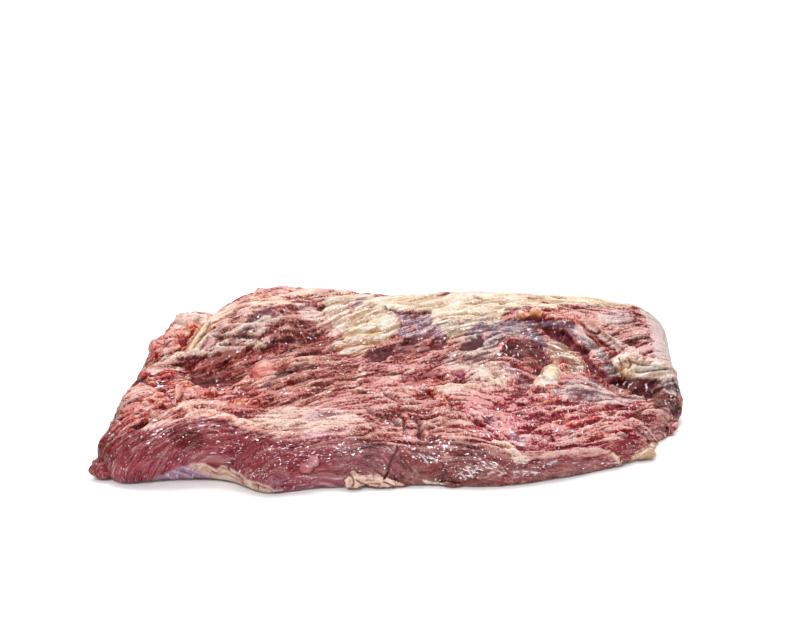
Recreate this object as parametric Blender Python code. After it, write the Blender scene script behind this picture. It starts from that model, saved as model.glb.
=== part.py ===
"""Raw beef brisket: one slab of meat that lies on its underside.

Metres, +Z up, origin at the centre of the slab's footprint on the surface it lies on.
+X runs along the slab, -Y is its thin front edge and +Y its thick back.
All named sizes below are millimetres.
"""

import math

import bmesh
import bpy
from mathutils import Euler, Matrix, Vector, noise

MM = 0.001

# Grid of the upper side: stations along the slab and across it. The wall has the stations of its edge.
ALONG = 80
ACROSS = 40

# The underside is a coarser grid, joined to the wall by one ring with half as many stations.
# Both have the shape of the outline, drawn in by these shares along and across.
UNDER_COARSER = 4
UNDER_RING_SHARE = (0.90, 0.81)
UNDER_GRID_SHARE = (0.80, 0.64)

# Plan outline of the slab at its widest, side by side, each from the left or from the front.
FRONT_EDGE = [
    (-215, -110), (-197, -126), (-160, -129), (-128, -128), (-108, -137), (-90, -143), (-73, -140),
    (-47, -133), (4, -128), (39, -128), (65, -131), (91, -127), (118, -115), (146, -102), (166, -90),
    (186, -73),
]
RIGHT_EDGE = [
    (186, -73), (193, -60), (197, -47), (209, -33), (218, -14), (224, 12), (223, 40), (224, 74), (224, 102),
    (214, 127),
]
BACK_EDGE = [
    (-176, 137), (-150, 139), (-120, 137), (-60, 140), (-5, 137), (50, 140), (110, 138), (160, 138),
    (192, 135), (214, 127),
]
LEFT_EDGE = [
    (-215, -110), (-218, -84), (-216, -45), (-212, 5), (-205, 50), (-200, 84), (-192, 116), (-176, 137),
]

# Thickness of the slab, at these places along it and across it.
THICK_AT_X = (-205, -160, -115, -60, 0, 60, 120, 175, 215)
THICK_AT_Y = (-118, -80, -40, 0, 40, 80, 118)
THICKNESS = (
    (28, 41, 44, 38, 29, 27, 23, 19, 14),
    (31, 42, 41, 37, 33, 31, 27, 22, 17),
    (35, 36, 35, 36, 37, 35, 31, 26, 22),
    (36, 37, 40, 41, 42, 41, 38, 35, 36),
    (41, 46, 52, 51, 50, 50, 49, 51, 50),
    (46, 52, 66, 63, 58, 59, 59, 58, 56),
    (43, 51, 72, 72, 67, 68, 67, 63, 60),
)

# Rounding of the edge: the share of the local thickness that the shoulder and the foot are drawn in by.
SHOULDER_SHARE = 0.50
SHOULDER_MOST = 20
FOOT_SHARE = 0.18
FOOT_MOST = 6
WIDEST_SHARE = 0.42
WALL_ANGLES = (26, 52, 90, 125, 157, 180)

# The front left lip is lifted off the surface: under it the skin slants back to the surface.
LIP_X = -148
LIP_HALF_LENGTH = 50
LIP_LIFT = 19
LIP_SET_BACK = 8
LIP_ANGLE = 125

# Rounded swellings of the upper side: x, y, half length, half width, turn in degrees, height.
SWELLINGS = {
    "hump": (-98, 84, 74, 34, 8, 5),
    "hump_nose": (-150, 62, 34, 22, 25, 6),
    "back_left_lobe": (-176, 112, 17, 26, 10, 7),
    "front_left_roll": (-142, -92, 62, 18, 4, 5),
    "front_left_corner": (-198, -96, 14, 18, 0, 2),
    "middle_swell": (30, 18, 66, 24, -14, 3),
    "right_block": (172, 58, 50, 28, -24, 5),
    "right_block_nose": (200, 26, 26, 18, -16, 5),
    "fat_pad_middle": (-18, 84, 40, 20, 12, 4),
    "fat_pad_right": (72, 104, 62, 16, 2, 4),
}

# Hollows and furrows along a bent line: start, bend point, end, half width, depth.
# A negative depth is a ridge.
FURROWS = {
    "cleft_under_hump": ((-190, 18), (-130, 22), (-62, 46), 11, 10),
    "valley_left": ((-196, -58), (-130, -48), (-40, -62), 17, 6),
    "valley_left_mouth": ((-208, -70), (-180, -66), (-150, -58), 8, 5),
    "furrow_right_long": ((60, 84), (128, 66), (176, 14), 9, 7),
    "furrow_right_upper": ((96, 96), (150, 82), (206, 56), 8, 4),
    "ridge_right_edge": ((78, 94), (140, 78), (196, 38), 8, -4),
    "hollow_right_front": ((146, 0), (184, -12), (222, -6), 13, 11),
    "fold_middle": ((-30, 46), (14, 38), (66, 52), 9, 4),
    "crease_front_middle": ((14, -30), (34, -64), (22, -106), 9, 4),
    "crease_front_right": ((48, -84), (84, -90), (120, -84), 8, 3),
    "fold_lobe": ((-190, 78), (-164, 88), (-148, 126), 9, 8),
    "furrow_top_left": ((-128, 60), (-92, 74), (-52, 76), 8, 3),
    "rim_roll_front": ((-20, -112), (40, -110), (120, -92), 7, -3),
}

# Bundles of muscle fibre that show as long low ribs along the grain, with softer lumps between them.
# The grain runs at GRAIN_TURN degrees, swings by GRAIN_SWING along the slab, and fans out towards the front.
GRAIN_TURN = 14
GRAIN_SWING = 26
GRAIN_SWING_LENGTH = 70
GRAIN_FAN_PER_MM = 0.12
RIB_HEIGHT = 1.3
RIB_SPACING = 17
RIB_LENGTH = 62
LUMP_HEIGHT = 1.5
LUMP_SIZE = 30

# Unevenness of the wall, in and out.
WALL_LUMP = 4.5
WALL_LUMP_LENGTH = 34
WALL_LUMP_HEIGHT = 18

# Torn rags of fat and skin that stick out at the edge: centre, half sizes, turns in degrees.
RAGS = {
    "front_curl": ((-28, -130, 8), (9, 6, 6), (10, -20, 30)),
    "front_curl_tail": ((-8, -127, 5), (17, 6, 4), (0, 6, 8)),
    "right_flap": ((180, -72, 6), (14, 9, 4.5), (0, 4, -10)),
    "right_flap_tip": ((187, -66, 7), (10, 7, 4), (0, -14, 20)),
    "right_spur": ((206, -26, 8), (12, 8, 6), (0, 12, 24)),
    "left_tip": ((-214, -112, 8), (9, 7, 7), (0, 20, 20)),
    "small_front_rag": ((41, -124, 3), (9, 6, 2.6), (0, 0, -4)),
}
RAG_BUMP = 0.28
RAG_BUMPS_PER_M = 160
RAG_CLEARANCE = 0.4

MEAT_COLOUR = (0.235, 0.050, 0.052, 1.0)
MEAT_ROUGHNESS = 0.38


def clear_scene():
    for obj in list(bpy.data.objects):
        bpy.data.objects.remove(obj, do_unlink=True)


def curve_value(a, b, c, d, t):
    """Catmull-Rom value between b and c."""
    return b + 0.5 * t * (c - a + t * (2 * a - 5 * b + 4 * c - d + t * (3 * (b - c) + d - a)))


def along_points(points, count):
    """count + 1 places, evenly spaced along a smooth curve through the points."""
    steps = 24
    ends = [Vector(p) for p in points]
    ends = [2 * ends[0] - ends[1], *ends, 2 * ends[-1] - ends[-2]]
    fine = []
    for a, b, c, d in zip(ends, ends[1:], ends[2:], ends[3:]):
        fine += [curve_value(a, b, c, d, k / steps) for k in range(steps)]
    fine.append(ends[-2])
    run = [0.0]
    for p, q in zip(fine, fine[1:]):
        run.append(run[-1] + (q - p).length)
    places, k = [], 0
    for i in range(count + 1):
        wanted = run[-1] * i / count
        while k < len(run) - 2 and run[k + 1] < wanted:
            k += 1
        share = (wanted - run[k]) / (run[k + 1] - run[k])
        places.append(fine[k].lerp(fine[k + 1], share))
    return places


def between(places, x):
    """The interval of places that holds x, and how far x is along it."""
    x = min(max(x, places[0]), places[-1])
    i = max(k for k in range(len(places) - 1) if places[k] <= x)
    return i, (x - places[i]) / (places[i + 1] - places[i])


def row_value(row, i, t):
    last = len(row) - 1
    return curve_value(row[max(i - 1, 0)], row[i], row[i + 1], row[min(i + 2, last)], t)


def thickness(x, y):
    i, s = between(THICK_AT_X, x)
    j, t = between(THICK_AT_Y, y)
    column = [row_value(row, i, s) for row in THICKNESS]
    return row_value(column, j, t)


def swelling(x, y, form):
    cx, cy, half_length, half_width, turn, height = form
    a = math.radians(turn)
    dx, dy = x - cx, y - cy
    along = (dx * math.cos(a) + dy * math.sin(a)) / half_length
    across = (dy * math.cos(a) - dx * math.sin(a)) / half_width
    return height * math.exp(-(along * along + across * across))


def bent_line(start, bend, end, pieces=8):
    """A quadratic curve from start to end that leans towards bend, as straight pieces."""
    a, b, c = Vector(start), Vector(bend), Vector(end)
    share = [k / pieces for k in range(pieces + 1)]
    return [a * (1 - t) ** 2 + b * 2 * t * (1 - t) + c * t * t for t in share]


FURROW_LINES = {name: bent_line(*form[:3]) for name, form in FURROWS.items()}


def furrow(x, y, name):
    """Depth of the named furrow at x, y: full along its middle and running out at both ends."""
    half_width, depth = FURROWS[name][3:]
    line = FURROW_LINES[name]
    place = Vector((x, y))
    best = None
    for k, (a, b) in enumerate(zip(line, line[1:])):
        step = b - a
        t = min(max((place - a).dot(step) / step.length_squared, 0), 1)
        gap = (place - a - step * t).length
        if best is None or gap < best[0]:
            best = (gap, (k + t) / (len(line) - 1))
    gap, along = best
    if gap > 3 * half_width:
        return 0.0
    run_out = math.sin(math.pi * min(max(along, 0.04), 0.96)) ** 0.6
    return depth * run_out * math.exp(-((gap / half_width) ** 2))


def ribs(x, y):
    """Height of the ribs and lumps at x, y."""
    swing = GRAIN_SWING * math.sin(x / GRAIN_SWING_LENGTH)
    grain = math.radians(GRAIN_TURN + swing - GRAIN_FAN_PER_MM * y)
    along = x * math.cos(grain) + y * math.sin(grain)
    across = y * math.cos(grain) - x * math.sin(grain)
    rib = noise.noise(Vector((along / RIB_LENGTH, across / RIB_SPACING, 3.1)))
    lump = noise.noise(Vector((x / LUMP_SIZE, y / LUMP_SIZE, 7.7)))
    return RIB_HEIGHT * (1 - 2 * abs(rib)) + LUMP_HEIGHT * lump


def upper_side(x, y):
    """Height of the upper side, in millimetres."""
    height = thickness(x, y) + ribs(x, y)
    height += sum(swelling(x, y, form) for form in SWELLINGS.values())
    return height - sum(furrow(x, y, name) for name in FURROWS)


def lip_share(x, y):
    """How much of the lift the edge has here: 1 at the middle of the lip, 0 away from it."""
    along = (x - LIP_X) / LIP_HALF_LENGTH
    return math.cos(along * math.pi / 2) if abs(along) < 1 and y < 0 else 0.0


def wall_place(x, y, high, shoulder, angle):
    """(distance in from the outline, height) of the wall at this angle, 0 being the rim and 180 the foot.

    The wall is rounded above and below its widest line. Under the lip it slants straight back to the surface.
    """
    lip = lip_share(x, y)
    turn = math.radians(angle)
    widest = lip * LIP_LIFT + WIDEST_SHARE * (high - lip * LIP_LIFT)
    if angle <= 90:
        inwards = shoulder * (1 - math.sin(turn))
        z = widest + (high - widest) * math.cos(turn)
    else:
        slant = max(angle - LIP_ANGLE, 0) / (180 - LIP_ANGLE)
        foot = min(FOOT_SHARE * high, FOOT_MOST)
        inwards = foot * (1 - math.sin(turn)) + lip * LIP_SET_BACK * slant
        z = widest * (1 + math.cos(turn)) * (1 - lip) + LIP_LIFT * (1 - slant) * lip
    lump = noise.noise(Vector((x / WALL_LUMP_LENGTH, y / WALL_LUMP_LENGTH, z / WALL_LUMP_HEIGHT)))
    return inwards + WALL_LUMP * lump * math.sin(turn), z


def edge_stations():
    """The closed plan outline, starting at the front left corner and running against the clock."""
    front = along_points(FRONT_EDGE, ALONG)
    right = along_points(RIGHT_EDGE, ACROSS)
    back = along_points(BACK_EDGE, ALONG)[::-1]
    left = along_points(LEFT_EDGE, ACROSS)[::-1]
    return front[:-1] + right[:-1] + back[:-1] + left[:-1]


def outward_ways(edge):
    """Unit normals of the outline, softened over a few stations so that corners fan out evenly."""
    count, reach = len(edge), 5
    ways = []
    for i in range(count):
        way = Vector((0, 0))
        for k in range(1, reach + 1):
            step = edge[(i + k) % count] - edge[i - k]
            way += Vector((step.y, -step.x)).normalized()
        ways.append(way.normalized())
    return ways


def coons(loop, nx, ny):
    """Places of a grid of nx by ny cells whose border is the loop."""
    front = loop[: nx + 1]
    right = loop[nx : nx + ny + 1]
    back = loop[nx + ny : 2 * nx + ny + 1][::-1]
    left = (loop[2 * nx + ny :] + loop[:1])[::-1]
    rows = []
    for j in range(ny + 1):
        v = j / ny
        row = []
        for i in range(nx + 1):
            u = i / nx
            sides = front[i] * (1 - v) + back[i] * v + left[j] * (1 - u) + right[j] * u
            low = front[0] * (1 - u) + front[nx] * u
            high = back[0] * (1 - u) + back[nx] * u
            row.append(sides - low * (1 - v) - high * v)
        rows.append(row)
    return rows


def border_of(rows):
    """The border vertices of a grid, in the order of the outline."""
    last = len(rows) - 1
    front = rows[0][:-1]
    right = [row[-1] for row in rows[:last]]
    back = rows[last][:0:-1]
    left = [row[0] for row in rows[:0:-1]]
    return front + right + back + left


def grid_faces(mesh, rows, upward):
    for low, high in zip(rows, rows[1:]):
        for i in range(len(low) - 1):
            corners = [low[i], low[i + 1], high[i + 1], high[i]]
            mesh.faces.new(corners if upward else corners[::-1])


def ring_faces(mesh, upper, lower):
    count = len(upper)
    for i in range(count):
        k = (i + 1) % count
        mesh.faces.new([upper[i], lower[i], lower[k], upper[k]])


def halving_faces(mesh, fine, coarse):
    """Joins a ring to one with half as many vertices, three triangles to a step."""
    for i in range(len(coarse)):
        k = (i + 1) % len(coarse)
        a, b, c = fine[2 * i], fine[2 * i + 1], fine[(2 * i + 2) % len(fine)]
        mesh.faces.new([a, coarse[i], b])
        mesh.faces.new([b, coarse[i], coarse[k]])
        mesh.faces.new([b, coarse[k], c])


def build_slab():
    edge = edge_stations()
    ways = outward_ways(edge)
    heights = [upper_side(p.x, p.y) for p in edge]
    shoulders = [min(SHOULDER_SHARE * h, SHOULDER_MOST) for h in heights]
    rim = [p - way * s for p, way, s in zip(edge, ways, shoulders)]

    mesh = bmesh.new()

    def vertex(place, z):
        return mesh.verts.new((place.x * MM, place.y * MM, z * MM))

    top = [[vertex(p, upper_side(p.x, p.y)) for p in row] for row in coons(rim, ALONG, ACROSS)]
    grid_faces(mesh, top, upward=True)

    ring = border_of(top)
    for angle in WALL_ANGLES:
        next_ring = []
        for p, q, way, shoulder in zip(edge, rim, ways, shoulders):
            inwards, z = wall_place(p.x, p.y, upper_side(q.x, q.y), shoulder, angle)
            next_ring.append(vertex(p - way * inwards, z))
        ring_faces(mesh, ring, next_ring)
        ring = next_ring

    halfway = [vertex(p * Vector(UNDER_RING_SHARE), 0.0) for p in edge[:: UNDER_COARSER // 2]]
    halving_faces(mesh, ring, halfway)
    border = [p * Vector(UNDER_GRID_SHARE) for p in edge[::UNDER_COARSER]]
    rows = coons(border, ALONG // UNDER_COARSER, ACROSS // UNDER_COARSER)
    bottom = [[vertex(p, 0.0) for p in row] for row in rows]
    halving_faces(mesh, halfway, border_of(bottom))
    grid_faces(mesh, bottom, upward=False)

    bmesh.ops.recalc_face_normals(mesh, faces=mesh.faces)
    data = bpy.data.meshes.new("brisket")
    mesh.to_mesh(data)
    mesh.free()
    slab = bpy.data.objects.new("brisket", data)
    bpy.context.scene.collection.objects.link(slab)
    return slab


def build_rag(name, centre, half_sizes, turns, into):
    """A crumpled scrap that overlaps the edge and lies on the surface."""
    mesh = bmesh.new()
    bmesh.ops.create_icosphere(mesh, subdivisions=3, radius=1.0)
    turn = Euler([math.radians(a) for a in turns]).to_matrix().to_4x4()
    size = Matrix.Diagonal((*[s * MM for s in half_sizes], 1))
    place = Matrix.Translation(Vector(centre) * MM) @ turn @ size
    for v in mesh.verts:
        bump = noise.noise((place @ v.co) * RAG_BUMPS_PER_M)
        v.co *= 1 + RAG_BUMP * bump
    mesh.transform(place)
    for v in mesh.verts:
        v.co.z = max(v.co.z, RAG_CLEARANCE * MM)
    bmesh.ops.dissolve_degenerate(mesh, dist=1e-5, edges=mesh.edges)
    bmesh.ops.recalc_face_normals(mesh, faces=mesh.faces)
    data = bpy.data.meshes.new(name)
    mesh.to_mesh(data)
    mesh.free()
    into.objects.link(bpy.data.objects.new(name, data))


def fuse(slab, pieces):
    """Joins every piece of the collection to the slab with one Boolean union, then removes them."""
    union = slab.modifiers.new("fuse", "BOOLEAN")
    union.operation = "UNION"
    union.operand_type = "COLLECTION"
    union.collection = pieces
    union.solver = "EXACT"
    bpy.context.view_layer.update()
    graph = bpy.context.evaluated_depsgraph_get()
    fused = bpy.data.meshes.new_from_object(slab.evaluated_get(graph))
    slab.modifiers.remove(union)
    old, slab.data = slab.data, fused
    bpy.data.meshes.remove(old)
    for piece in list(pieces.objects):
        bpy.data.objects.remove(piece, do_unlink=True)
    bpy.data.collections.remove(pieces)


def centre_on_origin(obj):
    """Moves the mesh so that the origin is at the middle of its box, at the lowest level."""
    corners = [v.co for v in obj.data.vertices]
    middle = [(min(c[k] for c in corners) + max(c[k] for c in corners)) / 2 for k in (0, 1)]
    lowest = min(c.z for c in corners)
    obj.data.transform(Matrix.Translation((-middle[0], -middle[1], -lowest)))


def meat_material():
    material = bpy.data.materials.new("raw_beef")
    material.use_nodes = True
    shader = material.node_tree.nodes["Principled BSDF"]
    shader.inputs["Base Color"].default_value = MEAT_COLOUR
    shader.inputs["Roughness"].default_value = MEAT_ROUGHNESS
    shader.inputs["Metallic"].default_value = 0.0
    return material


def main():
    clear_scene()
    slab = build_slab()
    rags = bpy.data.collections.new("rags")
    bpy.context.scene.collection.children.link(rags)
    for name, form in RAGS.items():
        build_rag(name, *form, into=rags)
    fuse(slab, rags)
    centre_on_origin(slab)
    slab.data.materials.clear()
    slab.data.materials.append(meat_material())
    slab.data.shade_smooth()


main()
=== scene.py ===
import itertools
import math

import bmesh
import bpy
import numpy as np
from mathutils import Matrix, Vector
from mathutils.bvhtree import BVHTree
from mathutils.geometry import delaunay_2d_cdt


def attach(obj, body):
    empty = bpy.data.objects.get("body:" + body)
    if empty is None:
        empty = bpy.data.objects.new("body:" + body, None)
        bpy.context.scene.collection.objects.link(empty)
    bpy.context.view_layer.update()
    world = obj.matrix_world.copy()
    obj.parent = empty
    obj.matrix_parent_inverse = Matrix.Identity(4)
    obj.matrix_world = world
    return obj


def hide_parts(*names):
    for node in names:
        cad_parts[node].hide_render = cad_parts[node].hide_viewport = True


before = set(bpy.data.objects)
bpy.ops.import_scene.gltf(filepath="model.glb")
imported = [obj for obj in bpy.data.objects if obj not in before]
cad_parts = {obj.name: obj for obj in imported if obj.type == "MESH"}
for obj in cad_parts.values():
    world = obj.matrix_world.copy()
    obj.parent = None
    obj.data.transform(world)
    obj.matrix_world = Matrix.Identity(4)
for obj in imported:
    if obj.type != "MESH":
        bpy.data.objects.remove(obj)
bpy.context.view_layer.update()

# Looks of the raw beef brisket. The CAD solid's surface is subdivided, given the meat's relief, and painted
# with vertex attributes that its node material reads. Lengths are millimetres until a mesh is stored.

MM = 0.001

# The camera that the photograph's outline fits: where it stands, how many degrees it looks down, and its
# focal length.
CAMERA_MM = (2.1, -1379.5, 531.1)
CAMERA_TILT = 17.87
FOCAL_PX = 1882.0
IMAGE_PX = (800, 640)
SENSOR_MM = 36.0

# The surface unfolded on a plane: the plan of the upper side, with the walls laid out flat around it. It is
# held on a fine and a coarse lattice. The rim's height is read this far inside it, in a band that fades and
# at most so far in, and is carried on past the rim in steps. The shift keeps the underside's grain from
# being the upper side's.
LATTICE_STEP = 2.0
COARSE_STEP = 4.0
LATTICE_HALF = (300.0, 240.0)
RIM_INSET = 20.0
RIM_BAND = 10.0
MOST_INSET = 60.0
UNDER_SHIFT = 700.0
SPREAD_STEPS = 12
SPREAD_GROWTH = 50.0
TINY = 1e-6

# How the CAD solid's triangles are joined: corners this near are one, in metres, and two triangles become a
# quad within these angles. The flat underside is what lies below a height and faces down, and it gets a net
# of this step, whose points keep clear of the rim by a share of it.
WELD = 1e-5
JOIN_BEND = math.radians(50)
JOIN_SKEW = math.radians(60)
FLAT_BELOW = 0.1
FACES_DOWN = -0.999
NET_STEP = 20.0
NET_CLEAR = 0.6

# A pixel's ray that misses the meat is tried at these distances for the place nearest the meat, unless the
# floor that it meets is near that place. Upright rays start overhead.
RAY_NEAR, RAY_FAR, RAY_TRIES = 1250.0, 1600.0, 71
PAST_MEAT = 1400.0
FLOOR_IS_NEAR = 30.0
OVERHEAD = 500.0

# Ranges over which a share of the surface grows from none to all: by how far its normal points up, or for
# what the camera sees how far it points at the camera, and by its height or its place along +Y in mm.
UNDER_FACES, UNDER_HEIGHT = (-0.55, -0.85), (3.0, 1.0)
WALL_FACES = (0.75, 0.4)
BACK_FACES, BACK_PLACE = (0.35, 0.1), (118.0, 126.0)
SEEN_FACES = (-0.2, -0.05)

# How finely the surface is subdivided, and in how many pieces from left to right it is kept.
BODY_LEVEL = 3
BODY_PIECES = 4
TREE_LEVEL = 1

# How dark the surface itself is beside the photograph, which is brightly lit, how much richer the lean's
# colours become than they are painted, and the least part of a colour.
ALBEDO = 0.78
RICHNESS = 1.36
LEAST_COLOUR = 0.004

# The lean's and the fat's colours where their tone is darkest, as shares of what is painted (the clefts
# reach it in part as painted shade), and where it is lightest, and the colours of the painted shade in the
# seam round a lump and of a painted glint.
DARK_LEAN, DARK_FAT = (0.27, 0.08, 0.09), (0.68, 0.52, 0.46)
LIGHT_LEAN, LIGHT_FAT = "#f4c4bc", "#fff2e8"
SEAM_SHADE_COLOUR = "#3a1214"
PAINTED_GLINT_COLOUR = "#f0e8f2"
FLOOR_COLOUR = (0.93, 0.94, 0.95)

# Kinds of surface: depth of the grained relief, depth of the lumps, wetness, how strongly its tone varies
# along the grain, how pale it is on the whole, how mottled it is, how much of what lies under it is hidden,
# and how many pixels wide its edge is.
FEATURES = ("grain", "lump", "wet", "contrast", "bias", "mottle", "cover", "edge")
KIND_ROWS = {
    "lean": (0.85, 0.15, 0.35, 1.0, 0.0, 0.35, 1.0, 1.6),
    "torn": (1.0, 0.8, 0.5, 1.1, 0.05, 1.0, 0.95, 1.0),
    "wet": (0.5, 0.25, 1.0, 0.52, 0.0, 0.2, 1.0, 1.2),
    "pale": (0.55, 0.3, 0.3, 0.65, 0.05, 0.2, 0.82, 1.2),
    "fat": (0.32, 0.35, 0.2, 0.5, 0.08, 0.1, 0.92, 0.9),
    "strands": (0.9, 0.2, 0.45, 1.2, 0.0, 0.6, 1.0, 3.0),
    "deep": (0.5, 0.15, 0.25, 0.5, -0.1, 0.0, 1.0, 1.0),
    "smooth": (0.12, 0.1, 0.5, 0.22, 0.0, 0.0, 1.0, 0.8),
    "membrane": (0.15, 0.1, 0.3, 0.4, 0.1, 0.0, 1.0, 0.6),
    "skin": (0.4, 0.15, 0.55, 0.6, 0.0, 0.15, 0.85, 2.8),
}
KINDS = {name: dict(zip(FEATURES, row)) for name, row in KIND_ROWS.items()}
LEAN_COLOUR = "#ac6a68"

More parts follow.
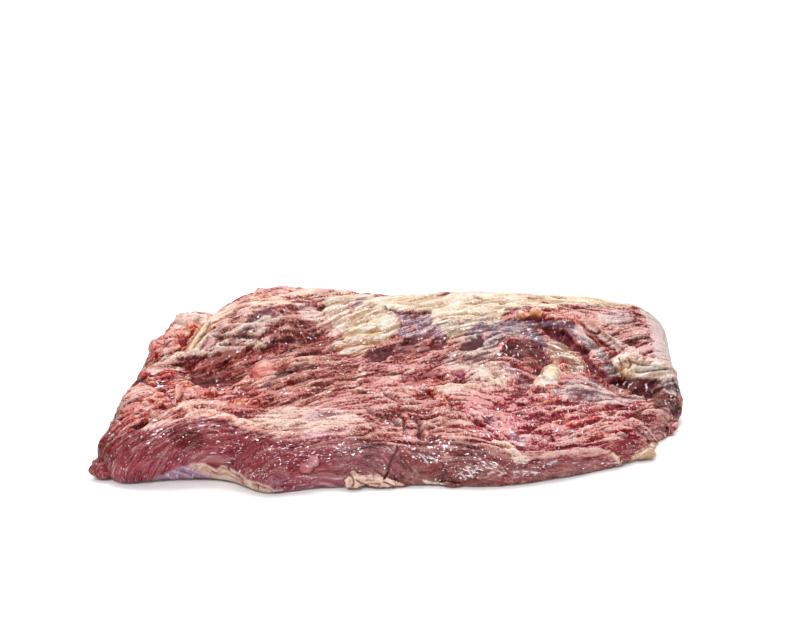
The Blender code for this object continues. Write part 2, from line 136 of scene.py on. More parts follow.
# What the photograph shows where: kind, colour, how far it stands up in mm, and its outline in the
# photograph's pixels. Later ones lie over earlier ones.
REGIONS = {
    "lean_left": ("lean", "#945049", 0, "262,366 300,360 345,360 360,372 345,392 330,404 300,410 262,412 "
        "240,405 255,385"),
    "lean_middle": ("lean", "#b06c68", 0, "345,385 400,378 425,388 440,412 470,425 500,440 420,440 400,410 "
        "370,400"),
    "lower_right": ("strands", "#b05864", 0, "480,395 540,392 600,395 640,400 650,425 640,440 600,447 "
        "560,448 520,452 500,442 470,430 460,410"),
    "lobe": ("torn", "#f49c84", 0, "149,358 150,347 156,340 166,335 170,330 174,324 180,318 187,313 "
        "193,311 200,313 207,316 211,318 208,325 203,333 197,338 190,342 186,349 178,350 165,352 158,358 "
        "152,361"),
    "lobe_top": ("fat", "#f4c4b8", 0, "172,328 178,320 187,313 194,311 206,315 209,320 200,324 190,322 "
        "184,328 176,330"),
    "lobe_orange": ("fat", "#f4d08c", 0, "186,331 190,325 196,322 201,326 204,330 199,333 192,334 187,335"),
    "lobe_deep": ("deep", "#8c1820", -1.5, "178,343 177,336 182,334 187,339 186,345 181,347"),
    "lobe_red": ("torn", "#b83c28", 0, "149,357 151,346 157,341 163,338 166,345 164,352 158,358 153,360"),
    "lobe_grey": ("skin", "#d47460", 0, "163,351 160,344 166,340 174,341 177,347 172,351"),
    "tan_strands": ("pale", "#ccac98", 0.5, "186,350 190,340 198,334 206,326 212,318 216,322 212,331 "
        "205,340 200,350 193,353"),
    "hump_brown": ("lean", "#a06c68", 0, "212,330 222,322 235,314 255,308 275,306 282,316 276,326 268,345 "
        "245,348 228,349 212,350 203,348"),
    "hump_lilac": ("skin", "#804050", 0, "258,313 272,308 280,312 277,320 262,326 250,329 238,334 246,322"),
    "hump_pale": ("pale", "#f4d4c4", 0, "210,322 216,312 230,306 245,302 262,299 292,301 290,306 265,306 "
        "245,310 230,316 218,325 210,330"),
    "peach_top": ("pale", "#f0ceba", 0, "247,300 252,290 258,288 270,294 285,290 300,287 320,287 345,291 "
        "365,297 350,301 325,300 300,299 290,303 270,302"),
    "peach_red": ("torn", "#cc7858", 1, "252,296 256,290 263,289 269,294 262,298"),
    "hump_red": ("lean", "#b05050", 0, "226,311 240,304 258,301 250,305 236,310"),
    "top_pink": ("lean", "#d8bcac", 0, "298,301 306,296 318,292 330,291 345,295 335,298 318,300 308,302"),
    "hump_side": ("lean", "#7c3e3a", 0, "281,308 296,316 305,322 318,328 330,334 340,337 334,345 320,352 "
        "300,356 280,358 262,352 268,345 270,332 280,320"),
    "hump_pink": ("skin", "#e8c0b0", 0, "294,302 310,306 325,313 333,322 341,332 335,337 325,330 312,322 "
        "303,318 298,310"),
    "ledge": ("pale", "#f4e0d0", 0.8, "156,365 166,358 180,351 192,350 204,352 216,352 228,350 222,353 "
        "208,356 194,356 180,357 168,363"),
    "left_tan": ("torn", "#a47864", 0, "145,369 155,360 170,360 178,362 172,368 160,371 150,371"),
    "cleft": ("lean", "#740c10", -1, "181,366 186,358 196,356 215,354 228,350 245,350 262,350 272,350 "
        "268,358 258,362 252,372 248,380 232,386 215,389 200,388 190,383 184,376"),
    # Deep red meat with painted shade, where the hump overhangs the cleft.
    "cleft_dark": ("deep", "#68040c", -2, "190,372 200,370 215,372 235,375 249,376 240,383 222,385 212,389 "
        "200,388 192,381"),
    "cleft_left": ("lean", "#70181c", -1, "172,364 180,360 188,362 191,372 185,379 176,373"),
    "salmon_lump": ("smooth", "#cc776c", 2.5, "249,379 252,371 259,365 266,362 271,364 275,369 271,374 "
        "264,379 256,383"),
    "salmon_tail": ("torn", "#ac2c30", 1.5, "232,390 240,384 250,378 256,380 248,386 238,392"),
    "pink_band": ("pale", "#e8d0c4", 1, "139,375 150,370 165,371 178,368 183,371 170,373 158,375 146,374"),
    "red_band": ("wet", "#a00c10", 1, "155,379 159,374 170,372 181,371 176,377 165,380"),
    "red_band_left": ("wet", "#a4202a", 1, "138,378 145,374 151,373 150,378 143,380"),
    "left_brown": ("wet", "#501010", 0, "126,392 131,384 137,380 148,379 154,385 147,387 138,389 130,394"),
    "torn_left": ("strands", "#ac3c38", 0, "124,395 140,388 155,384 175,379 190,384 205,390 235,391 "
        "250,385 262,382 268,392 262,404 250,412 230,412 210,410 196,411 175,414 155,418 135,424 116,428 "
        "111,421 116,408 118,400"),
    "torn_cream": ("torn", "#e6b8a6", 0.5, "178,403 195,399 212,399 228,402 222,410 205,409 190,411 "
        "176,409"),
    "torn_grey": ("torn", "#8c6858", 0, "111,425 112,414 117,402 126,397 136,401 130,408 122,416 118,425"),
    "torn_pale": ("pale", "#b4685c", 0.5, "125,398 138,392 150,391 160,396 150,400 136,402"),
    # Painted shade at the foot of the hump, sunk a little.
    "hump_foot": ("lean", "#6c2c2e", -0.5, "262,346 272,342 282,340 290,348 284,356 270,358 260,353"),
    # Painted shade near the salmon lump, under the hump.
    "salmon_shade": ("lean", "#501818", -1, "254,386 264,381 272,376 284,369 298,366 296,373 282,381 "
        "268,389 258,391"),
    "front_wall": ("wet", "#844248", 0, "90,446 111,429 130,431 142,431 160,424 190,419 205,418 222,420 "
        "250,428 280,436 305,438 340,436 400,447 430,441 470,447 500,450 530,463 560,459 600,456 620,461 "
        "640,459 600,490 520,510 300,520 80,510 80,470"),
    "front_roll": ("lean", "#943c3c", 0, "108,431 118,424 135,421 150,414 175,411 195,412 188,418 172,421 "
        "155,426 140,432 120,433"),
    "wall_low": ("wet", "#934a54", 0, "104,474 120,462 165,460 184,465 160,474 145,482 125,488 104,484"),
    "wall_low_middle": ("wet", "#945c68", 0, "255,482 280,474 345,476 348,490 270,496"),
    "wall_dark_1": ("wet", "#5c1820", 0, "171,431 185,429 200,430 204,440 200,449 185,450 172,446"),
    "wall_dark_2": ("wet", "#682828", 0, "98,454 99,442 106,437 113,441 112,450 106,455"),
    "wall_middle": ("wet", "#86585c", 0, "335,446 350,440 380,446 400,447 400,488 350,484 335,470"),
    "wall_right": ("wet", "#80504f", 0, "400,447 430,440 470,440 485,448 512,452 514,462 530,470 520,476 "
        "500,492 450,492 400,490"),
    "wall_far": ("wet", "#92605f", 0, "510,470 530,466 545,461 600,459 615,462 610,478 560,486 500,492"),
    "notch": ("deep", "#540410", -3, "131,429 138,423 150,422 144,427 138,430"),
    "crest": ("pale", "#d8a49c", 0.5, "140,431 150,426 165,421 183,418 190,411 200,410 215,414 232,416 "
        "250,421 262,427 290,433 280,437 262,433 240,427 222,420 205,418 190,420 170,424 152,430"),
    "pale_patch": ("pale", "#e0c4b8", 0.5, "244,423 262,414 280,410 302,408 318,408 335,410 350,413 "
        "366,419 355,424 340,429 325,432 300,434 285,431 262,429"),
    "patch_lilac": ("skin", "#d8b4b8", 0, "302,418 318,410 338,411 345,414 325,418 305,424"),
    "patch_low": ("pale", "#c498a0", 0, "298,435 330,431 354,428 348,433 320,438 305,439"),
    "fat_left": ("fat", "#d0b8a4", 1, "322,306 330,298 345,296 353,300 347,308 350,316 346,326 342,333 "
        "334,328 326,318 321,312"),
    "fat_hole": ("deep", "#6a3a34", -1.5, "316,311 319,307 324,305 326,308 322,312"),
    "fat_band": ("fat", "#ecd6b8", 1.5, "345,301 365,297 385,298 400,297 412,292 430,291 450,292 480,291 "
        "510,292 540,291 565,292 590,298 620,300 637,305 628,311 600,307 575,306 560,305 555,310 540,308 "
        "515,309 505,313 500,321 480,322 462,323 445,326 432,329 430,320 433,313 420,312 400,312 388,311 "
        "372,307 355,307"),
    "fat_grey": ("fat", "#9c806c", 1, "433,327 450,323 475,319 497,318 503,322 495,328 480,326 470,332 "
        "455,339 443,335"),
    "fat_top_dark": ("lean", "#86384a", 0, "424,294 437,291 446,292 453,295 445,296 430,295"),
    "lilac_spot": ("skin", "#806074", 0, "352,306 355,300 366,300 362,306 356,310"),
    "skin_left": ("skin", "#9c788c", 0, "390,312 402,314 420,313 431,315 433,327 441,331 445,337 436,339 "
        "420,339 405,338 397,333 403,326 400,319"),
    "fat_fan": ("fat", "#c4a488", 2, "344,331 348,318 356,309 370,306 385,309 393,314 402,325 399,331 "
        "391,338 380,342 368,346 352,351 340,351 333,348 338,340 343,336"),
    "fat_fan_low": ("fat", "#b07850", 0, "333,349 340,340 352,338 370,341 392,337 385,343 370,348 360,355 "
        "350,356 340,353"),
    "fat_fan_top": ("fat", "#dcc8b0", 1, "370,318 385,316 397,321 401,327 392,331 378,331 372,326"),
    "dark_strands": ("lean", "#6c3038", -0.5, "390,347 402,338 420,337 440,336 446,342 440,350 420,353 "
        "405,357 392,358"),
    "dark_hole": ("deep", "#60282c", -2, "362,357 368,352 378,348 393,346 391,356 384,362 372,362 364,359"),
    "dark_lens_1": ("smooth", "#642024", -1, "428,350 432,342 438,336 445,336 446,344 440,350"),
    "skin_dark": ("skin", "#6a4e64", 0, "466,336 472,330 480,322 490,326 500,324 515,319 535,320 560,321 "
        "572,325 560,328 540,327 520,328 500,332 488,338 478,341 468,340"),
    "skin_middle": ("skin", "#6c5464", 0.5, "482,344 495,333 512,328 530,328 542,334 549,346 546,352 "
        "538,345 525,338 510,337 498,342 490,352 482,352"),
    "dark_lens_2": ("smooth", "#4c1c24", -1, "460,349 466,341 474,336 484,336 482,346 475,351 464,352"),
    "dark_oval": ("deep", "#581e22", -1.5, "501,351 508,342 520,339 532,340 541,347 544,355 530,357 "
        "515,356 505,354"),
    "grey_streaks": ("skin", "#9c746c", 0, "446,354 470,351 492,348 504,354 495,360 470,363 445,366 "
        "441,360"),
    "cream_patch": ("pale", "#d0b8ac", 1, "464,378 473,368 490,363 501,361 510,366 510,378 505,387 490,389 "
        "480,385 468,383"),
    "cream_left": ("pale", "#b89c94", 0, "436,368 452,362 475,360 490,360 480,367 465,371 448,370"),
    "skin_slant": ("skin", "#986474", 0, "503,366 512,367 521,373 532,385 526,389 516,381 508,375"),
    "dark_meat": ("lean", "#763432", -0.5, "512,362 525,357 540,357 549,364 546,372 538,379 528,381 "
        "520,372 514,368"),
    "dark_band": ("lean", "#843038", -0.5, "400,373 415,369 442,370 438,377 424,384 408,387 400,381"),
    "dark_pocket": ("deep", "#803044", -1, "452,374 460,370 467,376 458,380"),
    "orange_fan": ("torn", "#b4503c", 0, "422,389 430,381 438,379 447,386 440,392 450,398 456,408 449,413 "
        "440,405 432,396"),
    "pink_streak": ("pale", "#c8a098", 1.5, "433,393 445,385 462,386 480,383 502,388 485,392 465,396 "
        "448,397"),
    "right_lean": ("lean", "#ac7874", 0, "556,311 575,308 600,308 632,310 642,318 647,330 652,342 657,356 "
        "640,352 625,345 610,336 595,325 580,317 562,315"),
    "right_pale": ("skin", "#d4b4b8", 0, "598,313 625,311 635,320 628,325 612,326 600,320"),
    "right_strip": ("membrane", "#d0c4c0", 0.5, "638,309 642,303 651,303 659,310 666,322 671,334 674,350 "
        "680,372 674,376 666,364 656,358 651,345 650,330 645,318"),
    "grey_plane": ("fat", "#946454", 0.5, "546,345 549,341 557,340 569,348 581,358 585,370 575,374 564,373 "
        "560,362 550,359"),
    "right_furrow": ("deep", "#642830", -2.5, "540,327 556,328 566,333 576,343 588,352 592,362 600,370 "
        "612,376 622,380 630,387 618,388 604,382 592,375 584,363 577,352 566,346 552,338"),
    "right_skin": ("skin", "#8c7880", 0, "560,325 575,326 584,332 593,341 602,350 613,356 616,362 608,367 "
        "600,363 593,353 582,343 570,334"),
    "upper_furrow": ("deep", "#64282c", -3, "577,320 588,323 600,331 611,339 624,350 612,352 599,345 "
        "588,336"),
    "white_ridge": ("pale", "#dcc0b8", 0.4, "580,317 595,325 608,335 622,343 640,351 655,357 669,363 "
        "660,365 640,359 620,352 608,343 595,332 585,323"),
    "right_fat": ("fat", "#c0a898", 1, "610,362 622,355 640,359 655,362 669,366 677,374 672,380 655,380 "
        "640,379 630,379 616,377"),
    "curled_fat": ("fat", "#c0906c", 2, "611,363 618,360 626,357 634,360 638,370 634,377 626,380 619,375 "
        "614,370"),
    "right_grey": ("skin", "#6c5c60", 0, "602,366 611,363 618,374 618,380 608,376"),
    "right_strands": ("pale", "#988084", 0.5, "555,388 575,380 590,381 604,388 620,396 642,399 630,405 "
        "600,405 575,401 548,396"),
    "hollow": ("deep", "#50181c", -1.6, "610,379 625,379 640,378 656,380 664,385 660,396 648,401 640,397 "
        "630,391 618,387"),
    "nose": ("lean", "#501c18", 0, "652,396 662,388 672,394 682,400 682,412 676,420 664,420 656,412 "
        "650,403"),
    "nose_pale": ("skin", "#6c4c4c", 0, "656,384 668,379 680,380 682,394 672,394 663,391"),
    "nose_low": ("lean", "#9c6464", 0, "638,404 655,408 668,416 684,420 676,432 655,438 642,440 632,428 "
        "635,412"),
    "low_red": ("lean", "#b44448", 0, "535,421 556,415 590,415 602,420 580,429 552,429"),
    "low_dark": ("wet", "#884044", 0, "606,448 616,441 630,439 641,444 642,452 630,458 616,456"),
    "low_lilac_1": ("skin", "#743048", 0, "483,418 490,414 500,420 498,426 488,423"),
    "low_lilac_2": ("skin", "#b47c90", 0, "506,434 514,431 526,443 530,450 518,446 510,440"),
    "low_lilac_3": ("skin", "#60344c", 0, "584,391 594,390 600,396 590,398"),
    "low_spot": ("smooth", "#c4b4be", 0.5, "616,436 618,431 624,430 627,436 622,439"),
    "low_orange": ("torn", "#b87470", 0, "596,425 606,416 618,424 630,432 618,440 600,440 575,442 590,434"),
    "rim_left": ("pale", "#e8d0c4", 1.5, "493,442 505,443 515,448 521,456 532,458 526,464 514,463 511,455 "
        "503,449"),
    "rim_right": ("pale", "#d8aca8", 1, "530,458 548,454 570,450 590,447 607,449 614,457 606,458 590,453 "
        "565,456 545,460"),
    "cream_lump": ("fat", "#dcb494", 2, "532,385 540,374 548,366 555,362 561,370 561,381 556,385 545,387"),
    "lump_red": ("torn", "#e8a49c", 0.5, "556,363 565,360 569,366 562,373 557,371"),
    "orange_lump": ("fat", "#f4a068", 2, "516,321 519,313 527,314 533,310 542,312 544,318 535,317 525,318"),
    "flap": ("fat", "#d0a47c", 0, "628,470 632,456 640,450 652,442 664,446 670,468 645,472"),
    "curl": ("fat", "#f4ccb8", 0, "345,496 347,478 353,471 360,476 380,475 390,480 404,484 404,492 "
        "370,498"),
    "cream_bit": ("fat", "#f4e4d0", 0, "424,480 438,482 448,487 440,492 428,486"),
    "left_tip": ("wet", "#985058", 0, "84,460 98,455 104,478 86,484"),
    "membrane": ("membrane", "#b894a8", 0, "148,486 152,480 165,473 175,468 185,465 197,465 206,469 "
        "216,475 214,488 180,490"),
    "lip_rim": ("fat", "#e4bcac", 0.6, "192,467 200,464 207,468 216,473 223,469 234,473 247,480 258,486 "
        "273,490 270,497 256,494 246,490 235,486 225,483 215,481 207,475 199,471"),
}
WIDE_REGION = 14.0
REGION_REACH = 8.0

# Where the wet surface swells or sinks beyond the CAD solid: middle and half sizes in pixels, height in mm.
SWELLINGS = [
    ((99, 443), (9, 15), 4.5), ((92, 470), (9, 9), -2.5), ((676, 428), (9, 9), -6.0),
    ((262, 292), (14, 5), -1.5),
]
LINE_REACH = 6.0

# Directions of the grain, each from one place in the photograph to another.
GRAIN = (
    "120,418 160,402  150,398 215,394  240,404 290,386  285,402 345,380  300,382 350,370  350,366 420,358  "
    "345,392 400,380  360,432 425,428  300,398 340,388  370,408 400,428  425,415 480,408  430,400 480,398  "
    "480,425 520,440  480,408 540,404  540,428 600,412  560,446 620,432  600,410 645,404  500,395 560,390  "
    "500,372 540,388  205,345 262,322  190,350 208,322  240,312 290,302  290,315 322,330  280,345 330,340  "
    "195,372 245,370  155,350 178,335  150,372 180,371  345,350 362,326  360,352 395,335  338,345 352,322  "
    "352,347 372,322  374,343 397,327  350,318 372,308  395,356 425,338  425,352 447,336  455,350 480,338  "
    "196,350 210,326  215,346 240,332  566,440 600,420  450,402 476,422  400,305 460,302  480,304 540,300  "
    "400,336 435,324  410,350 440,340  450,350 500,329  500,346 540,352  548,332 596,360  575,322 610,346  "
    "560,312 600,314  608,334 640,320  625,350 660,358  590,380 620,390  640,395 672,388  655,418 672,400  "
    "105,475 130,440  150,470 175,436  200,450 240,444  250,470 300,462  280,440 320,430  340,455 375,453  "
    "386,452 388,478  420,470 470,470  520,474 580,468  270,422 330,416  584,320 612,340  616,342 650,354"
)
GRAIN_REACH = 16.0

# Raised strings and cut lines, and the painted highlights of the sheen, by where they are: colour, half
# width in pixels, height in mm (a cut's is negative), and the way in pixels. Later ones lie over earlier
# ones.
LINES = {
    "hump": [
        ("#f4e0bc", 1.6, 1.3, "190,349 195,341 201,333 206,327 211,321"),
        ("#ecd4b4", 1.3, 1.1, "197,349 202,342 207,336 213,331"),
        ("#f0e0d0", 1.5, 1.2, "206,341 212,337 220,336 228,334 236,331 245,327 253,324 262,319 270,317"),
        ("#e8d8c8", 1.4, 1.1, "213,349 220,344 228,341 240,340 252,340"),
        ("#e8d8cc", 0.8, 1.0, "208,350 216,348 224,348"),
        ("#dccab4", 2.4, 0.9, "246,346 254,344 264,345"),
        ("#e0d0b8", 2.2, 0.9, "249,334 256,333 264,330"),
        ("#dcc0b0", 1.4, 1.0, "258,325 266,322 274,321 281,320"),
        ("#e0b4a4", 1.2, 1.0, "222,331 230,327 238,322 246,317 252,312"),
        ("#ecc4b4", 1.2, 1.0, "216,327 226,321 236,315 246,310 256,307 268,307"),
        ("#f4d8c8", 1.3, 1.0, "212,321 222,314 232,309 244,305 256,303"),
        ("#e4b8a8", 1.1, 0.9, "226,327 236,324 246,320 256,316"),
        ("#d4aca4", 1.1, 0.9, "232,334 244,332 254,328 264,325"),
        ("#54282e", 1.7, -1.8, "229,341 237,338 246,337 257,337"),
        ("#644048", 1.3, -1.6, "238,333 247,330 255,327"),
        ("#54302e", 1.1, -1.6, "220,346 234,345 246,346"),
        ("#74404c", 2.0, -1.0, "250,319 260,314 272,310"),
        ("#6a4038", 0.8, -1.4, "214,339 224,338 232,336"),
        ("#703438", 1.4, -1.4, "231,317 235,315"),
        ("#7a4c40", 0.7, -1.2, "218,333 228,329 238,326"),
        ("#7a3c3c", 0.8, -1.2, "226,316 238,311 252,306"),
        ("#b0685c", 0.7, 0.9, "277,308 281,318 279,335 279,357"),
        ("#cc9a8a", 0.7, 0.9, "272,310 278,314 283,320"),
        ("#c48c80", 0.8, 1.0, "284,306 294,317 301,330 306,342"),
        ("#a86860", 0.8, 0.9, "290,320 300,324 308,334"),
        ("#4e1c20", 1.1, -2.0, "262,350 272,346 276,338"),
    ],
    "top": [
        ("#a45e50", 0.8, -1.4, "262,301 278,301 292,299 310,296"),
        ("#9c5450", 0.8, -1.2, "300,308 312,304 316,306"),
    ],
    "salmon": [
        # The first stroke is a painted highlight on the salmon lump, the last a painted highlight on its
        # tail.
        ("#ecb8a8", 2.4, 1.2, "261,369 266,366 270,368"),
        ("#ac3c38", 1.8, 0.5, "250,380 255,376 258,378"),
        ("#dc9080", 1.4, 1.2, "276,369 284,363 294,361"),
        ("#ecb8ac", 0.9, 1.0, "240,386 246,383 251,382"),
    ],
    "ledge": [
        ("#ecd0c0", 0.8, 1.0, "160,361 172,354 190,352 212,353 238,348"),
        ("#ecd4c4", 0.6, 0.9, "156,366 170,362 180,360"),
        ("#e8ccbc", 0.6, 0.9, "163,370 176,367 182,368"),
        ("#4c1c20", 1.0, -2.0, "176,360 190,358 204,358 220,355"),
    ],
    "left": [
        ("#eca894", 1.2, 1.8, "130,393 140,389 150,384 160,381"),
        ("#e49484", 1.2, 1.8, "146,389 155,393 163,397"),
        ("#dc6450", 1.0, 1.6, "148,379 147,385 141,388"),
        ("#f0b4a0", 1.4, 2.2, "175,404 177,394 180,387 189,385"),
        ("#ecc0b0", 1.1, 1.4, "150,398 160,402 170,401"),
        ("#e8b4a4", 1.1, 1.4, "135,410 150,407 170,404"),
        ("#ecc4b4", 1.0, 1.4, "150,420 165,414 180,410 192,412"),
        ("#d85040", 1.1, 1.2, "150,402 158,403 168,401"),
        ("#e88c70", 1.1, 1.4, "181,387 190,386 200,389"),
        ("#4e1a1e", 1.0, -2.2, "135,387 150,386 160,390 168,396"),
        ("#58201f", 1.0, -2.0, "128,404 140,398 152,396"),
        ("#6a2c2a", 0.9, -1.8, "196,401 206,402 216,401"),
        ("#702824", 0.9, -1.8, "222,396 240,396 256,394"),
        ("#5a2020", 0.9, -1.8, "180,400 183,395 192,396"),
        ("#602422", 0.9, -1.6, "140,413 156,412 172,409"),
        ("#602422", 0.9, -1.6, "120,420 132,416 142,417"),
        ("#4c1a1c", 1.1, -2.0, "160,384 172,379 184,378"),
    ],
    "torn": [
        ("#eab4a0", 1.1, 1.4, "236,391 250,386 262,381 274,377"),
        ("#e4a088", 1.1, 1.2, "240,402 255,400 268,402"),
        ("#d8785c", 1.0, 1.2, "232,400 246,405 258,404"),
    ],
    "crest": [
        ("#e48c6c", 0.9, 1.2, "198,412 208,415 218,417"),
        ("#f4d4c4", 1.1, 1.4, "186,416 196,413 215,414 235,419 252,424"),
        ("#d8a49a", 0.9, 1.0, "230,424 250,430 275,435 300,436"),
    ],
    "lean": [
        ("#d4a08c", 1.2, 1.5, "282,364 300,360 320,358 345,358"),
        ("#7a2c30", 1.1, -2.0, "308,355 322,354 333,350"),
        ("#5a2420", 1.2, -2.2, "296,367 308,365 316,367"),
        ("#d8a090", 1.0, 1.4, "272,384 290,376 310,371"),
        ("#d09a88", 1.0, 1.4, "280,398 300,389 322,381"),
        ("#d8a898", 1.0, 1.4, "296,404 318,396 334,388"),
        ("#5c2420", 1.0, -1.8, "276,391 296,382 314,376"),
        ("#5c2420", 1.0, -1.8, "290,402 310,394 328,385"),
        ("#6a2024", 1.5, -2.2, "328,397 338,395"),
        ("#e0a49c", 1.3, 1.8, "338,399 352,393 362,389"),
        ("#702828", 1.4, -2.2, "318,378 336,377 350,374"),
        ("#d88c84", 1.4, 1.6, "358,382 380,381 400,386 415,392"),
        ("#e4b8ac", 1.1, 1.6, "378,397 390,392 402,390 416,396"),
        ("#6c2428", 2.0, -3.0, "386,396 394,399 401,402"),
        ("#eabea8", 0.9, 1.6, "357,375 361,369 361,364"),
        ("#d08894", 1.2, 1.4, "362,364 380,366 400,369 410,368"),
        ("#6a2a30", 1.1, -2.0, "364,371 384,373 402,375"),
        ("#f0ccbc", 1.0, 1.6, "386,379 400,377 408,372 414,370"),
    ],
    "tear": [
        ("#481a1e", 2.2, -4.0, "369,411 378,416 390,418 398,425"),
        ("#481a1e", 2.0, -3.6, "412,417 420,425 420,438"),
        ("#e0b0a4", 1.2, 1.8, "384,410 398,405 414,401"),
        ("#5c2428", 1.5, -2.6, "396,412 404,420 404,434"),
    ],
    "arc": [
        ("#caa094", 1.0, 1.6, "422,427 436,422 454,421 470,425"),
        ("#c49488", 1.0, 1.6, "424,434 440,430 458,431 470,437"),
        ("#d4a89c", 1.0, 1.6, "402,408 425,408 445,411 462,418 474,428"),
        ("#6c2e30", 0.9, -2.0, "424,430 440,426 456,426 468,431"),
        ("#6c2e30", 0.9, -2.0, "422,419 440,416 458,421"),
        ("#cfa292", 1.0, 1.6, "350,432 362,429 372,425 380,420"),
        ("#b88878", 1.0, 1.4, "345,440 365,438 385,432"),
        ("#5e2c2a", 0.9, -2.0, "348,436 365,434 380,427"),
    ],
    "orange_fan": [
        ("#e08c74", 0.9, 1.4, "440,396 446,402 448,410"),
        ("#e49c84", 0.9, 1.4, "434,388 438,396 438,402"),
        ("#f0ccbc", 1.3, 1.8, "436,391 448,388 462,390 480,387"),
        ("#5a1c1c", 1.0, -2.2, "444,396 450,404 453,412"),
        ("#64201e", 1.0, -2.0, "420,390 428,392 434,400"),
    ],
    "slant": [
        ("#dca8a0", 1.1, 1.5, "466,408 478,418 490,428 506,440"),
        ("#d89c9a", 1.1, 1.5, "478,408 490,416 502,426"),
        ("#702c34", 1.0, -2.0, "470,416 484,427 498,438"),
        ("#bc4434", 1.4, -1.2, "497,433 504,436 508,440"),
    ],
    "fat_fan": [
        ("#b48c62", 1.2, -1.1, "350,336 365,332 385,334 396,330"),
        ("#a87c52", 1.1, -1.0, "348,345 365,342 388,339"),
        ("#b89470", 1.1, -0.9, "351,324 360,315 374,311"),
        ("#b4906a", 1, -0.8, "356,328 370,318 386,314"),
        ("#f0dcbc", 1.8, 0.7, "350,332 366,326 388,322"),
        ("#e8cca0", 1.7, 0.7, "346,341 366,337 384,337"),
        # A painted glint on the fat.
        ("#f0ecf0", 0.6, 0.4, "374,341 382,339 389,337"),
    ],
    "fat_band": [
        ("#c0a07c", 0.7, -1.2, "398,305 420,308 442,305"),
        ("#b8966f", 0.7, -1.4, "440,319 460,315 482,316 496,313"),
        ("#bc9a74", 0.7, -1.2, "466,306 500,303 530,306"),
        ("#8a4c44", 0.8, -1.6, "505,311 520,309 550,312"),
        ("#b89472", 0.7, -1.2, "540,302 575,304 610,308"),
        ("#986050", 0.8, -1.2, "558,307 570,309"),
        ("#6a3830", 0.8, -1.2, "586,308 600,307 610,308"),
        # Painted shadow under the edge of the fat band, sunk as a cut.
        ("#6e4a48", 0.9, -1.6, "386,311 400,313.5 420,313.5 431,312.5"),
        ("#9c5a48", 0.9, -1.2, "474,298 482,301"),
        ("#98643c", 0.9, -1.0, "528,299 536,300"),
    ],
    "skin": [
        ("#c8b4bc", 0.8, 0.6, "400,329 415,325 430,322"),
        ("#c0acb8", 0.8, 0.6, "403,336 420,331 436,328"),
        ("#d0c0ae", 1.1, 0.9, "447,341 460,339 476,336"),
        ("#ccbab0", 1.0, 0.8, "452,347 462,343 470,340"),
        ("#c8b4b0", 0.9, 0.8, "484,345 495,339 510,334"),
        ("#bca8b0", 0.8, 0.6, "500,331 518,325 536,325"),
        ("#d8c4b4", 0.8, 0.8, "478,351 490,346 498,342"),
        ("#b08478", 0.8, 1.0, "444,352 449,342 452,339"),
    ],
    "grey_streaks": [
        ("#dcc4b4", 0.9, 1.0, "450,357 462,353 480,352"),
        ("#5c3040", 1.0, -1.6, "444,362 452,361 456,359"),
        ("#7a4450", 1.0, -1.4, "479,364 488,363"),
        ("#6c3840", 1.0, -1.6, "462,381 472,381 481,383"),
    ],
    "cream_patch": [
        ("#f4dccc", 1.0, 1.2, "480,372 492,380 500,386"),
        ("#c48c80", 0.8, -1.0, "484,366 496,375 503,384"),
    ],
    "right_string": [
        ("#cc6c50", 0.9, 2.6, "543,317 560,317 574,320 582,326 590,335 600,344 610,350 622,352"),
        ("#b4504a", 1.2, 2.4, "579,351 583,362 589,371 598,379 610,385 618,390"),
        ("#7c5468", 1.6, -0.6, "590,380 603,387 614,391"),
        ("#5a2020", 0.9, -2.0, "522,320 534,319 543,319"),
        ("#70506c", 1.3, -0.4, "535,322 556,322 574,325"),
    ],
    "white_ridge": [
        ("#e8d0c8", 0.8, 0.6, "584,319 600,329 616,340 636,350 660,360"),
        ("#a04c40", 0.8, -1.4, "640,353 655,358 668,361"),
    ],
    "furrow": [
        ("#8a5050", 0.8, 1.0, "566,332 560,342"),
        ("#8a5450", 0.8, 1.0, "576,341 570,349"),
        ("#7c4846", 0.8, 1.0, "592,362 586,368"),
        ("#d89484", 0.9, 1.4, "566,315 580,318 592,324 604,333"),
    ],
    "right_lean": [
        ("#62302f", 0.8, -1.6, "600,329 612,324 628,323 636,320"),
        ("#62302f", 0.8, -1.6, "610,336 626,329 640,327"),
        ("#4e2222", 1.0, -2.0, "622,345 634,340 652,338"),
        ("#d8aca4", 0.8, 1.2, "614,337 630,333 646,334"),
        ("#d8b0a8", 0.8, 1.2, "600,324 616,321 632,320"),
        ("#5c2c2a", 0.8, -1.4, "636,349 645,344 654,341"),
        ("#402020", 1.2, -1.2, "631,315 636,319"),
    ],
    "right_fat": [
        ("#5c463c", 0.9, -1.8, "636,373 650,371 666,370"),
        ("#6a5244", 0.9, -1.6, "628,363 640,366 655,367"),
        ("#7c6450", 0.8, -1.6, "619,360 622,368 620,375"),
        ("#7c6450", 0.8, -1.6, "628,360 631,366 628,372"),
        ("#ece0d4", 1.0, 1.2, "640,369 655,366 668,368"),
    ],
    "nose": [
        # The two pale strokes are painted glints on the nose.
        ("#e4dcdc", 0.8, 1.0, "664,385 672,383 678,382"),
        ("#dcd0d0", 0.8, 1.0, "664,390 670,394 678,396"),
        ("#2c1416", 1.0, -1.0, "672,378 677,388 677,400 674,412"),
    ],
    "low_right": [
        ("#ecc4b8", 1.1, 1.6, "522,413 538,407 552,401"),
        ("#f0a080", 0.9, 1.4, "540,407 550,402 556,400"),
        ("#a02c34", 1.1, -1.8, "552,412 575,411 600,409 625,406"),
        ("#e8b8b0", 1.0, 1.6, "540,413 560,409 590,406 620,402"),
        ("#e4b0a8", 1.0, 1.6, "600,416 618,413 638,411"),
        ("#ecc0b8", 1.1, 1.6, "556,441 575,436 592,428 604,419"),
        ("#e0a898", 1.0, 1.6, "570,443 590,436 612,430"),
        ("#702c34", 1.0, -2.0, "552,438 568,434 584,428 596,424"),
